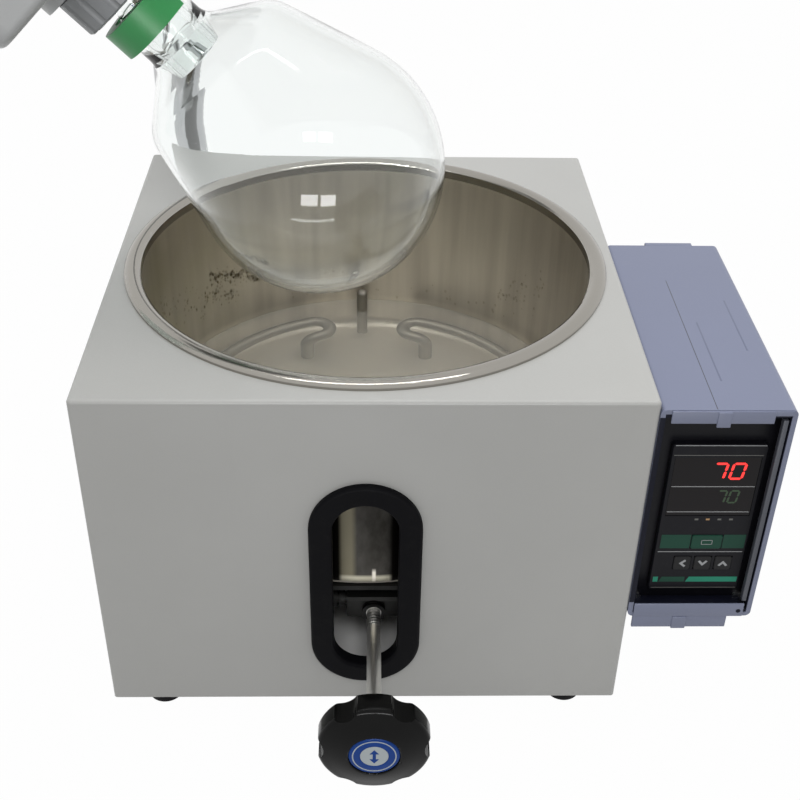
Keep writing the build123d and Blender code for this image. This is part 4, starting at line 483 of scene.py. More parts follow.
@dataclass(frozen=True)
class BasinSteel:
    """Satin stainless steel of a used water bath: runs down the wall, a tide line and rings, with
    painted shade and light on its outside.

    Pairs of heights say where one look fades into the next, in metres.
    """

    name: str = "basin_steel"
    colour: Colour = (0.70, 0.66, 0.59)
    streak: Colour = (0.55, 0.515, 0.46)
    olive: Colour = (0.56, 0.54, 0.38)
    tide_mark: Colour = (0.86, 0.82, 0.74)
    rim: Colour = (0.34, 0.325, 0.295)
    # The next six colours paint light and shade on the outside: deep and soft painted shade,
    # painted light on the left and at the foot, a painted reflection of the screw and painted shade
    # at the sides.
    painted_shade_deep: Colour = (0.035, 0.033, 0.029)
    painted_shade_soft: Colour = (0.10, 0.095, 0.088)
    painted_light_left: Colour = (0.24, 0.22, 0.155)
    painted_light_foot: Colour = (0.58, 0.55, 0.44)
    painted_screw_reflection: Colour = (0.95, 0.90, 0.80)
    shade: Colour = (0.006, 0.005, 0.004)
    skin: float = BASIN_RADIUS + 0.4
    tide: float = 103.0
    outer_top: float = 198.0
    wall_start: Point = (0.074, 0.080)
    wall_end: Point = (0.196, 0.199)
    roll: Point = (0.1975, 0.1985)
    # The heights where the painted light at the outside's foot fades out.
    band: Point = (0.0745, 0.0765)

    def inside(self, s: Shader, across: Socket, up: Socket) -> tuple[Socket, Socket]:
        """The colour and the pattern of runs on the basin's inside.

        Args:
            s: The material.
            across: The distance to the left or right of the basin's middle.
            up: The height over the housing's bottom.

        Returns:
            The colour and the runs.
        """
        middle = at(0, BASIN_Y, 0)
        on_wall = s.times(s.spread(up, 0, 1, *self.wall_start), s.spread(up, 1, 0, *self.wall_end))
        runs = s.noise(s.round_axis(middle, 2.0, 3.2), 3.0, 3, 0.45)
        fine = s.noise(s.round_axis(middle, 5.0, 26.0), 2.0, 3, 0.5)
        cloud = s.noise(s.place, 12, 4, 0.6)
        tide = s.plus(up, s.spread(cloud, -0.004, 0.004))
        ring = s.apart(tide, self.tide * MM)
        base = s.blend(s.times(s.spread(runs, 0, 1, 0.35, 0.68), on_wall), self.colour, self.streak)
        base = s.blend(s.times(s.spread(fine, 0, 0.10, 0.4, 0.75), on_wall),
                       base, lighter(self.colour, 1.12))
        left = s.times(s.spread(across, 0.6, 0.0, -0.105, -0.050), on_wall)
        base = s.blend(s.times(left, s.spread(cloud, 0.3, 1, 0.4, 0.65)), base, self.olive)
        base = s.blend(s.spread(ring, 0.40, 0.0, 0.0, 0.0035), base, self.tide_mark)
        return base, s.times(runs, on_wall)

    def outside(self, s: Shader, across: Socket, up: Socket) -> Socket:
        """The colour of the outside: painted shade, painted light at the foot and on the left, a
        painted reflection of the screw, and painted shade at the sides.

        Args:
            s: The material.
            across: The distance to the left or right of the basin's middle.
            up: The height over the housing's bottom.

        Returns:
            The colour.
        """
        cloud = s.noise(s.stretched((1, 1, 0.5)), 55, 4, 0.6)
        # Painted shade over the outside, clouded.
        dark = s.blend(s.spread(cloud, 0, 1, 0.35, 0.7), self.painted_shade_deep, self.painted_shade_soft)
        # Painted light on the left and in a band at the foot.
        dark = s.blend(s.spread(across, 0.75, 0.0, -0.0075, -0.0045), dark, self.painted_light_left)
        dark = s.blend(s.spread(up, 1.0, 0.0, *self.band), dark, self.painted_light_foot)
        # A thin bright line below the screw's height: a painted reflection of the screw.
        off_screw = s.apart(across, SCREW_X * MM)
        line = s.times(s.spread(off_screw, 1, 0, 0.0006, 0.0013), s.spread(up, 1, 0, 0.078, 0.081))
        dark = s.blend(line, dark, self.painted_screw_reflection)
        # Painted shade at both sides.
        edge = s.spread(s.sum("ABSOLUTE", across), 0, 1, 0.0125, 0.0145)
        return s.blend(edge, dark, self.shade)

    def made(self) -> bpy.types.Material:
        """Builds the material."""
        s = Shader(self.name)
        across, back, up = s.seen_from(at(0, BASIN_Y, 0))
        outer = s.times(s.sum("GREATER_THAN", s.length(across, back), self.skin * MM),
                        s.sum("LESS_THAN", up, self.outer_top * MM))
        base, runs = self.inside(s, across, up)
        base = s.blend(outer, base, self.outside(s, across, up))
        rolled = s.spread(up, 0, 1, *self.roll)
        base = s.blend(rolled, base, self.rim)
        rough = s.plus(s.spread(runs, 0.30, 0.40), s.times(rolled, -0.14))
        rough = s.plus(rough, s.spread(up, 0.25, 0.0, 0.070, 0.078))
        normal = s.bump(s.noise(s.place, 240, 3), 0.03, 0.3, s.bump(runs, 0.05, 0.2))
        return s.done(s.surface(Base_Color=base, Metallic=1.0, Roughness=rough, Normal=normal,
                                Anisotropic=0.2))


@dataclass(frozen=True)
class Moulding:
    """Moulded plastic or rubber: fine grain, flow clouds, handling shine and dust."""

    name: str
    colour: Colour
    roughness: float = 0.45
    grain: float = 900.0
    depth: float = 0.03
    dust: float = 0.06
    dust_colour: Colour = (0.45, 0.43, 0.40)
    shine: float = 0.5

    def made(self) -> bpy.types.Material:
        """Builds the material."""
        s = Shader(self.name)
        cloud = s.noise(s.place, 22, 4)
        grain = s.noise(s.place, self.grain, 2)
        dust = s.spread(s.noise(s.place, 170, 6, 0.75), 0, self.dust, 0.52, 0.80)
        handled = s.noise(s.place, 48, 3)
        base = s.clouded(cloud, self.colour, 0.90, 1.12)
        base = s.blend(dust, base, self.dust_colour)
        rough = s.plus(s.spread(handled, self.roughness * 0.82, self.roughness * 1.18),
                       s.times(dust, 0.6))
        normal = s.bump(grain, self.depth, 0.7)
        normal = s.bump(s.noise(s.place, 90, 2), self.depth * 1.5, 0.15, normal)
        return s.done(s.surface(Base_Color=base, Roughness=rough, Normal=normal,
                                Specular_IOR_Level=self.shine))


@dataclass(frozen=True)
class Glass:
    """Blown glass: clear, a little wavy, with faint fingerprints and dried drops."""

    name: str
    tint: Colour = (0.97, 0.985, 0.98)
    ior: float = 1.33
    wave: float = 0.12
    smudge: float = 0.025
    shade: Colour = (0.90, 0.92, 0.92)

    def made(self) -> bpy.types.Material:
        """Builds the material."""
        s = Shader(self.name)
        prints = s.spread(s.noise(s.place, 46, 5, 0.65), 0, self.smudge, 0.56, 0.80)
        drops = s.spread(s.cells(260), self.smudge, 0, 0.03, 0.11)
        base = s.blend(s.times(prints, 1.5), self.tint, lighter(self.tint, 0.93))
        normal = s.bump(s.noise(s.place, 26, 2), self.wave, 0.35)
        normal = s.bump(drops, 0.01, 0.3, normal)
        glass = s.surface(Base_Color=base, Roughness=s.plus(prints, drops), Normal=normal,
                          Transmission_Weight=1.0, IOR=self.ior)
        return s.done(s.clear_to_lamps(glass, self.shade))


@dataclass(frozen=True)
class StillWater:
    """Bath water with slow ripples and a trace of cloudiness."""

    name: str = "bath_water"
    tint: Colour = (0.90, 0.875, 0.80)
    ripple: float = 0.9
    clarity: float = 0.84
    shade: Colour = (0.92, 0.93, 0.90)

    def made(self) -> bpy.types.Material:
        """Builds the material."""
        s = Shader(self.name)
        slow = s.noise(s.stretched((1.0, 1.6, 1.0)), 24, 2, 0.4)
        small = s.noise(s.place, 95, 2, 0.4)
        tone = s.blend(s.spread(slow, 0, 0.5, 0.4, 0.7), self.tint, lighter(self.tint, 0.93))
        normal = s.bump(slow, self.ripple, 0.55)
        normal = s.bump(small, self.ripple * 0.25, 0.3, normal)
        film = s.spread(s.noise(s.place, 40, 4), 0.05, 0.10)
        water = s.surface(Base_Color=tone, Roughness=film, Normal=normal,
                          Transmission_Weight=self.clarity, IOR=1.33)
        return s.done(s.clear_to_lamps(water, self.shade))


@dataclass(frozen=True)
class Glow:
    """A lit display segment or lamp under a diffusing skin."""

    name: str
    colour: Colour
    strength: float

    def made(self) -> bpy.types.Material:
        """Builds the material."""
        s = Shader(self.name)
        cloud = s.spread(s.noise(s.place, 420, 3), 0, 1, 0.25, 0.75)
        lit = s.blend(cloud, lighter(self.colour, 0.82), self.colour)
        normal = s.bump(s.noise(s.place, 1800, 2), 0.01, 0.4)
        rough = s.spread(cloud, 0.30, 0.42)
        return s.done(s.surface(Base_Color=lighter(self.colour, 0.35), Roughness=rough,
                                Normal=normal, Emission_Color=lit,
                                Emission_Strength=self.strength))


@dataclass(frozen=True)
class Ptfe:
    """White PTFE: waxy, with light under the skin and turning marks."""

    name: str = "ptfe_white"
    colour: Colour = (0.82, 0.82, 0.80)

    def made(self) -> bpy.types.Material:
        """Builds the material."""
        s = Shader(self.name)
        mark = s.noise(s.stretched((1, 0.05, 1)), 1800, 3)
        cloud = s.noise(s.place, 60, 4)
        base = s.clouded(cloud, self.colour, 0.93, 1)
        return s.done(s.surface(Base_Color=base, Roughness=s.spread(mark, 0.38, 0.52),
                                Normal=s.bump(mark, 0.02, 0.5), Subsurface_Weight=0.25,
                                Subsurface_Scale=0.002))


@dataclass(frozen=True)
class ThreadedSteel:
    """A bright screw rod with its thread, painted shade in the thread's grooves, and the dark
    collar round it.
    """

    name: str = "screw_steel"
    colour: Colour = (0.76, 0.75, 0.72)
    pitch: float = 2.0
    start: float = 2.0
    end: float = 270.0
    collar_from: float = 4.1
    collar: Colour = (0.02, 0.02, 0.02)

    def made(self) -> bpy.types.Material:
        """Builds the material."""
        s = Shader(self.name)
        across, back, up = s.seen_from(at(SCREW_X, 0, SCREW_Z))
        angle = s.sum("ARCTAN2", up, across)
        turns = s.plus(s.times(back, 1 / (self.pitch * MM)), s.times(angle, 0.5 / math.pi))
        tooth = s.apart(s.sum("FRACT", turns), 0.5)
        inside = s.times(s.sum("GREATER_THAN", back, self.start * MM),
                         s.sum("LESS_THAN", back, self.end * MM))
        thread = s.times(tooth, inside)
        collar = s.sum("GREATER_THAN", s.length(across, up), self.collar_from * MM)
        line = s.noise(s.stretched((1, 0.05, 1)), 2400, 3, 0.6)
        smudge = s.noise(s.place, 30, 4)
        base = s.clouded(line, self.colour, 0.85, 1.12)
        # The thread's grooves are darker: painted shade.
        base = s.blend(s.times(thread, 0.9), base, lighter(self.colour, 0.45))
        base = s.blend(collar, base, self.collar)
        normal = s.bump(line, 0.015, 0.6, s.bump(thread, -0.9, 1.0))
        return s.done(s.surface(Base_Color=base, Metallic=1.0, Normal=normal,
                                Roughness=s.spread(smudge, 0.30, 0.44), Anisotropic=0.4))


class Finishes:
    """Every finish of the machine, built once and looked up by a short name."""

    def __init__(self) -> None:
        """Builds the materials."""
        kinds = (
            Paint("grey_paint", (0.48, 0.48, 0.463)),
            Paint("plate_paint", (0.80, 0.80, 0.79), roughness=0.5, peel=0.06),
            Paint("head_paint", (0.50, 0.51, 0.51), roughness=0.40),
            Paint("case_paint", (0.197, 0.218, 0.315), roughness=0.46, cloud=0.04),
            Paint("case_shade", (0.147, 0.164, 0.244), roughness=0.50, cloud=0.04),
            Metal("heater_steel", (0.36, 0.34, 0.30), 0.50, Brushing.NONE, 0.02,
                  (0.24, 0.22, 0.17), 0.10),
            Metal("bright_steel", (0.62, 0.61, 0.59), 0.22, Brushing.ROUND_Z),
            Metal("black_steel", (0.020, 0.020, 0.019), 0.42, Brushing.NONE, 0.03,
                  (0.16, 0.15, 0.13), 0.08, 0.6),
            Metal("zinc", (0.62, 0.63, 0.62), 0.32, Brushing.NONE, 0.03, (0.42, 0.42, 0.38), 0.3),
            Metal("chrome", (0.46, 0.465, 0.475), 0.10, Brushing.ALONG_Z, 0.006,
                  (0.45, 0.44, 0.42), 0.05),
            Metal("gear_steel", (0.50, 0.49, 0.47), 0.34, Brushing.NONE, 0.03),
            Moulding("black_rubber", (0.003, 0.003, 0.004), 0.55, 700, 0.05, 0.010, shine=0.06),
            Moulding("knob_black", (0.003, 0.003, 0.003), 0.16, 1400, 0.006, 0.004,
                     shine=0.12),
            Moulding("panel_black", (0.006, 0.006, 0.009), 0.36, 1100, 0.03, 0.012, shine=0.14),
            Moulding("inner_navy", (0.008, 0.009, 0.018), 0.50, 1100, 0.03, 0.02, shine=0.10),
            Moulding("rib_grey", (0.075, 0.080, 0.100), 0.45, 1100, 0.03, 0.03),
            Moulding("cap_blue", (0.002, 0.048, 0.27), 0.30, 1200, 0.012, 0.02, shine=0.15),
            Moulding("badge_pale", (0.45, 0.50, 0.52), 0.35, 1300, 0.008, 0.05,
                     (0.40, 0.38, 0.34)),
            Moulding("housing_plastic", (0.28, 0.29, 0.30), 0.42, 850, 0.05, 0.05),
            Moulding("key_green", (0.006, 0.060, 0.036), 0.36, 1200, 0.015, 0.01, shine=0.2),
            Moulding("key_dark", (0.010, 0.010, 0.011), 0.34, 1200, 0.015, 0.01, shine=0.2),
            Moulding("mark_grey", (0.40, 0.41, 0.42), 0.45, 1500, 0.01, 0.05),
            Moulding("line_grey", (0.13, 0.13, 0.12), 0.40, 1500, 0.01, 0.05),
            Moulding("strip_green", (0.012, 0.27, 0.165), 0.36, 1200, 0.015, 0.02, shine=0.3),
            Moulding("bar_green", (0.006, 0.060, 0.036), 0.36, 1200, 0.015, 0.01, shine=0.2),
            Moulding("clip_green", (0.03, 0.30, 0.08), 0.38, 900, 0.03, 0.04),
            Glass("clear_glass"),
            Glass("cooler_glass", (0.86, 0.91, 0.90)),
            Glass("drop_water", (0.74, 0.71, 0.64), 1.33, 0.0, 0.0),
            BasinSteel(),
            StillWater(),
            Glow("digit_red", (1.0, 0.03, 0.025), 1.5),
            Glow("digit_green", (0.02, 0.075, 0.015), 0.20),
            Glow("lamp_amber", (0.42, 0.24, 0.10), 0.5),
            Moulding("window_smoke", (0.006, 0.004, 0.005), 0.14, 1600, 0.004, 0.004,
                     shine=0.18),
            Ptfe(),
            ThreadedSteel(),
        )
        self.shelf = {kind.name: kind.made() for kind in kinds}

    def on_node(self, finish: str, *nodes: str) -> None:
        """Gives CAD nodes a finish by their material slots.

        Args:
            finish: The finish's name.
            nodes: The nodes' names.
        """
        for name in nodes:
            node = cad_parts[name]
            for slot in node.material_slots:
                slot.material = self.shelf[finish]
            LOG.info("node %s: %s", name, finish)

    def on_piece(self, finish: str, piece: Piece, body: str, slot: str,
                 *stands_for: str, smooth: float = 35.0) -> Piece:
        """Dresses a new piece and sets it on its body.

        Args:
            finish: The finish's name.
            piece: The piece in its place.
            body: The CAD body that it rides on.
            slot: The record's material slot; not used.
            stands_for: CAD nodes that it replaces.
            smooth: Edges sharper than this, in degrees, stay sharp.

        Returns:
            The piece.
        """
        piece.data.materials.clear()
        piece.data.materials.append(self.shelf[finish])
        take(piece)
        bpy.ops.object.shade_smooth_by_angle(angle=math.radians(smooth))
        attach(piece, body)
        if stands_for:
            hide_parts(*stands_for)
        LOG.info("piece %s: %s on %s", piece.name, finish, body)
        return piece


# Sub-assemblies

@dataclass
class Assembly:
    """A sub-assembly: the finishes that dress it, and the CAD nodes that each finish goes to."""

    finishes: Finishes
    nodes: ClassVar[dict[str, tuple[str, ...]]] = {}

    def shapes(self) -> None:
        """Adds the pieces that the CAD part doesn't have; here none."""

    def build(self) -> None:
        """Dresses the CAD nodes and adds the new pieces."""
        for finish, names in self.nodes.items():
            self.finishes.on_node(finish, *names)
        self.shapes()


@dataclass
class BathVessel(Assembly):
    """The heated basin with its water, heater, probe and the drops on its wall."""

    nodes = {"basin_steel": ("basin",), "heater_steel": ("heater", "temperature_probe")}
    radius: float = BASIN_RADIUS
    floor: float = 67.0
    corner: float = 8.0
    level: float = 101.0
    meniscus: float = 1.1
    meniscus_reach: float = 3.5
    touch: float = 0.3

    def water(self) -> None:
        """Fills the basin: the water reaches a hair into the steel, so no air shows between."""
        wall = self.radius + self.touch
        low = self.floor - self.touch
        profile = [(0, low), (40, low), (80, low)]
        profile += arc((wall - self.corner, low + self.corner), self.corner, -90, 0, 8)
        profile += [(wall, self.level + self.meniscus)]
        for share in (0.02, 0.1, 0.25, 0.45, 0.7, 1.0):
            rise = self.meniscus * (1 - share) ** 2.5
            profile.append((self.radius - self.meniscus_reach * share, self.level + rise))
        profile += [(self.radius - 4.0 - 8.0 * i, self.level) for i in range(1, 15)]
        profile += [(0, self.level)]
        piece = turned("bath_water", profile, upright(0, BASIN_Y, 0), 128)
        self.finishes.on_piece("bath_water", piece, "bath", "clear_glass", smooth=60)

    def drops(self) -> None:
        """Scatters condensed drops on the wall above the water."""
        clear_selection()
        bpy.ops.mesh.primitive_uv_sphere_add(segments=8, ring_count=5, radius=1.0)
        seed = new_piece("wall_drop")
        rng = random.Random(7)
        # Start and end angle, the height at each, the band's width and the number of drops
        fields = ((124, 143, 132, 146, 5, 190), (132, 146, 124, 134, 8, 60),
                  (146, 170, 132, 150, 14, 60), (27, 47, 150, 126, 16, 50),
                  (47, 118, 112, 112, 6, 30))
        copies = []
        for start, end, first, last, band, count in fields:
            for _ in range(count):
                share = rng.random()
                angle = math.radians(start + (end - start) * share)
                size = rng.uniform(0.4, 1.0)
                z = first + (last - first) * share + rng.gauss(0, band / 2)
                out = Vector((math.cos(angle), math.sin(angle), 0))
                copy = seed.copy()
                copy.data = seed.data.copy()
                bpy.context.scene.collection.objects.link(copy)
                turn = Matrix.Rotation(angle, 4, "Z")
                shape = Matrix.Diagonal((0.45 * size * MM, size * MM, 1.25 * size * MM, 1))
                spot = at(0, BASIN_Y, z) + out * (self.radius * MM)
                copy.matrix_world = Matrix.Translation(spot) @ turn @ shape
                copies.append(copy)
        bpy.data.objects.remove(seed)
        piece = joined("condensed_drops", copies)
        bpy.ops.object.transform_apply()
        self.finishes.on_piece("drop_water", piece, "bath", "clear_glass", smooth=80)

    def shapes(self) -> None:
        """Adds the water and the drops."""
        self.water()
        self.drops()


@dataclass
class BathCase(Assembly):
    """The painted housing round the basin, its slot trim and the nuts under the floor."""

    nodes = {"grey_paint": ("bath_housing",), "black_rubber": ("slot_grommet",),
             "zinc": ("floor_nuts",)}


@dataclass
class LiftKnob(Assembly):
    """The six-lobed knob on the jack's screw, with its blue cap and pale badge."""

    face: float = -83.5
    radius: float = 28.0
    depth: float = 16.0
    hub_r: float = 11.0
    hub_l: float = 7.0
    bore: float = 3.9
    cap_r: float = 12.5
    cap_t: float = 1.6
    scallop_r: float = 9.5
    scallop_out: float = 34.1
    lobes: int = 6

    def place(self) -> Matrix:
        """Local Z looks to the front, with zero at the lobes' back."""
        return facing_front(SCREW_X, self.face + self.depth, SCREW_Z)

    def body(self) -> None:
        """Turns the knob, then cuts a scallop between each two lobes."""
        r, top = self.radius, self.depth
        profile = [(0, top - self.cap_t - 0.1), (self.cap_r + 0.3, top - self.cap_t - 0.1),
                   (self.cap_r + 0.3, top - 0.35), (self.cap_r + 0.7, top),
                   (self.cap_r + 1.8, top - 0.15)]
        profile += [(17.5, top - 1.0), (21.5, top - 2.2), (24.6, top - 3.4)]
        profile += arc((r - 3.0, top - 6.6), 3.0, 68, 0, 6)
        profile += arc((r - 2.0, 2.0), 2.0, 0, -90, 5)
        profile += [(self.hub_r + 1.0, 0), (self.hub_r, -0.8), (self.hub_r, -self.hub_l + 0.8)]
        profile += [(self.hub_r - 0.8, -self.hub_l), (self.bore, -self.hub_l), (self.bore, 6.0)]
        profile += [(0, 6.0)]
        piece = turned("lift_knob", profile, Matrix.Identity(4), 120)
        for i in range(self.lobes):
            angle = math.radians(120 + 360 * i / self.lobes)
            spot = Vector((math.cos(angle), math.sin(angle), 0)) * (self.scallop_out * MM)
            clear_selection()
            bpy.ops.mesh.primitive_cylinder_add(
                vertices=72, radius=self.scallop_r * MM, depth=60 * MM, location=spot)
            cut_away(piece, new_piece("scallop"))
        use_modifier(piece, "BEVEL", width=1.3 * MM, segments=4, limit_method="ANGLE",
                     angle_limit=math.radians(38))
        settle(piece, self.place())
        self.finishes.on_piece("knob_black", piece, "screw", "black_knob", "star_knob", smooth=50)

    def cap(self) -> None:
        """The blue cap, with a pale badge that carries a plain up and down arrow."""
        top, r = self.depth, self.cap_r
        low = top - self.cap_t
        disc = [(0, low), (r - 0.1, low), (r, low + 0.2), (r, top - 0.75), (r - 0.25, top - 0.45),
                (r - 0.8, top - 0.25), (7.2, top - 0.2), (7.0, top - 0.45), (0, top - 0.45)]
        badge = [(0, top - 0.44), (6.8, top - 0.44), (6.9, top - 0.3), (6.7, top - 0.12),
                 (6.3, top - 0.08), (0, top - 0.08)]
        ring = [(10.2, top - 0.3), (10.2, top - 0.17), (10.8, top - 0.17), (10.8, top - 0.3)]
        for name, finish, profile, closed, stands_for in (
                ("knob_cap_disc", "cap_blue", disc, False, ["knob_cap"]),
                ("knob_badge", "badge_pale", badge, False, []),
                ("knob_ring", "badge_pale", ring, True, [])):
            piece = turned(name, profile, self.place(), closed=closed)
            self.finishes.on_piece(finish, piece, "screw", "blue_cap", *stands_for)
        arrow = [(-0.8, -1.8), (-2.3, -1.8), (0, -4.8), (2.3, -1.8), (0.8, -1.8),
                 (0.8, 1.8), (2.3, 1.8), (0, 4.8), (-2.3, 1.8), (-0.8, 1.8)]
        mark = plate_of("knob_arrow", arrow, 0.08,
                        self.place() @ Matrix.Translation((0, 0, (top - 0.085) * MM)))
        self.finishes.on_piece("cap_blue", mark, "screw", "blue_cap")

    def shapes(self) -> None:
        """Adds the knob and its cap."""
        self.body()
        self.cap()


@dataclass
class LiftJack(Assembly):
    """The scissor jack under the bath: arms, trunnions, screw, rivets and bracket."""

    nodes = {"black_steel": ("jack_pedestal", "lower_front_arm", "lower_rear_arm",
                             "upper_front_arm", "upper_rear_arm", "front_trunnion",
                             "rear_trunnion", "jack_top_bracket"),
             "zinc": ("lower_rivets", "upper_rivets"), "screw_steel": ("jack_screw",)}

    def shapes(self) -> None:
        """Adds the knob on the screw."""
        LiftKnob(self.finishes).build()


@dataclass
class Stand(Assembly):
    """The base plate, feet, column and carriage with its two grip knobs."""

    nodes = {"plate_paint": ("base_plate", "column_flange"), "black_rubber": ("rubber_feet",),
             "chrome": ("column",), "head_paint": ("carriage",),
             "knob_black": ("carriage_knob", "tilt_knob")}
    column_x: float = -130.0
    column_y: float = 340.0
    screw_circle: float = 33.0
    screw_top: float = 15.8

    def shapes(self) -> None:
        """Adds the four socket-head screws that hold the column's flange to the plate."""
        reach = self.screw_circle * math.sqrt(0.5)
        corners = ((reach, reach), (-reach, reach), (-reach, -reach), (reach, -reach))
        profile = [(0, 0), (3.2, 0), (3.4, 0.2), (3.4, 2.6), (3.0, 3.0), (1.9, 3.0), (1.7, 2.8),
                   (1.7, 1.2), (0, 1.2)]
        screws = [turned("flange_screw", profile,
                         upright(self.column_x + x, self.column_y + y, self.screw_top), 24)
                  for x, y in corners]
        piece = joined("flange_screws", screws)
        self.finishes.on_piece("zinc", piece, "base", "zinc", smooth=40)


@dataclass
class ControlBox(Assembly):
    """The control box on the bath's right: folded case halves, bezel, rear plate and fittings."""

    nodes = {"case_paint": ("case_left", "case_right"), "zinc": ("case_screws",),
             "panel_black": ("case_bezel", "case_rear_plate", "power_inlet", "power_switch",
                             "switch_rocker", "controller_case")}
    left: float = 140.0
    right: float = 206.0
    low: float = 62.0
    top: float = 196.5
    depth: float = 168.0
    seam: float = 167.0
    wall: float = 2.55

    def trim(self, name: str, finish: str, low: Triple, high: Triple, edge: float) -> None:
        """Adds a strip, lip or rail: a cube stretched between two corners, its edges rounded.

        Args:
            name: The piece's name.
            finish: Its finish.
            low: Its lowest corner, in machine millimetres.
            high: Its highest corner.
            edge: Its edges' radius.
        """
        start, end = at(*low), at(*high)
        clear_selection()
        bpy.ops.mesh.primitive_cube_add(size=1, location=(start + end) / 2, scale=end - start)
        piece = new_piece(name)
        bpy.ops.object.transform_apply()
        bpy.ops.object.mode_set(mode="EDIT")
        bpy.ops.mesh.select_all(action="SELECT")
        bpy.ops.mesh.bevel(offset=edge * MM, segments=3, affect="EDGES")
        finish_mesh()
        self.finishes.on_piece(finish, piece, "bath", "blue_grey_case")

    def front_lips(self) -> None:
        """The folded lips above and below the opening, with their tabs."""
        for name, x0, x1, z0, z1, front in (
                ("lip_top", 145.3, 195.0, 189.1, 196.2, -0.9),
                ("lip_top_tab", 167.3, 174.0, 187.2, 195.9, -1.5),
                ("lip_top_short", 194.6, 203.9, 193.2, 196.2, -0.5),
                ("lip_bottom", 142.9, 201.6, 62.3, 71.3, -0.9),
                ("step_bottom", 143.0, 193.6, 54.2, 62.5, -0.5),
                ("step_bottom_tab", 164.3, 171.9, 53.6, 62.0, -1.1)):
            back = 1.2 if z0 < self.low else 0.1
            self.trim(name, "case_paint", (x0, front, z0), (x1, back, z1), 0.35)
        # A dark disc on the lip stands for a hole: painted shade.
        hole = turned("lip_hole_painted_shade", [(0, 0), (1.3, 0), (1.3, 0.12), (0, 0.12)],
                      facing_front(198.9, -0.85, 66.3), 24)
        self.finishes.on_piece("inner_navy", hole, "bath", "blue_grey_case")

    def lining(self) -> None:
        """The dark inside of the opening, painted shade on the left edge, and the rib on the right.
        """
        x0, x1 = self.left + self.wall, self.right - self.wall
        z0, z1 = self.low + self.wall, self.top - self.wall
        for name, low, high in (
                ("lining_left", (x0, 0.4, z0), (x0 + 0.3, 10.6, z1)),
                ("lining_right", (x1 - 0.3, 0.4, z0), (x1, 10.6, z1)),
                ("lining_top", (x0, 0.4, z1 - 2.2), (x1, 10.6, z1)),
                ("lining_bottom", (x0, 0.4, z0), (x1, 10.6, z0 + 2.2)),
                # A dark strip on the left wall's front edge: painted shade.
                ("left_edge_painted_shade", (self.left - 0.02, -0.12, 72.0), (x0, 0.02, 192.0))):
            self.trim(name, "inner_navy", low, high, 0.04)
        self.trim("inner_rib", "rib_grey", (200.0, 0.6, 72.0), (202.6, 4.0, 190.0), 0.4)

    def top_lines(self) -> None:
        """The seam along the top, painted shade at the left edge and in the two faint grooves, and
        the plate's edge at the back.
        """
        z = self.top
        self.trim("top_seam", "rib_grey", (self.seam - 0.2, 0.6, z - 0.1),
                  (self.seam + 0.2, 126.0, z + 0.03), 0.02)
        # A dark strip along the top's left edge: painted shade in the gap.
        self.trim("top_left_painted_shade", "rib_grey", (self.left, 0.6, z - 0.1),
                  (self.left + 0.55, self.depth - 1.0, z + 0.03), 0.02)
        # The two faint grooves are dark strips: painted shade.
        for name, x, y0, y1 in (("top_groove_left", 174.4, 25.0, 81.0),
                                ("top_groove_right", 194.4, 53.0, 104.0)):
            self.trim(name, "case_shade", (x - 0.45, y0, z - 0.1), (x + 0.45, y1, z + 0.03), 0.02)
        self.trim("top_back_edge", "case_paint", (163.5, self.depth - 0.6, z - 2.5),
                  (191.0, self.depth + 3.6, z), 0.4)

    def shapes(self) -> None:
        """Adds the folded sheet details."""
        self.front_lips()
        self.lining()
        self.top_lines()


class Segment(Enum):
    """The bars that a 7 and a 0 need: middle across and up, and whether the bar stands."""

    TOP = (0.5, 1.0, False)
    UPPER_LEFT = (0.0, 0.75, True)
    UPPER_RIGHT = (1.0, 0.75, True)
    LOWER_LEFT = (0.0, 0.25, True)
    LOWER_RIGHT = (1.0, 0.25, True)
    FOOT = (0.5, 0.0, False)


SEVEN = (Segment.TOP, Segment.UPPER_RIGHT, Segment.LOWER_RIGHT)
NOUGHT = (Segment.TOP, Segment.UPPER_LEFT, Segment.UPPER_RIGHT, Segment.LOWER_LEFT,
          Segment.LOWER_RIGHT, Segment.FOOT)


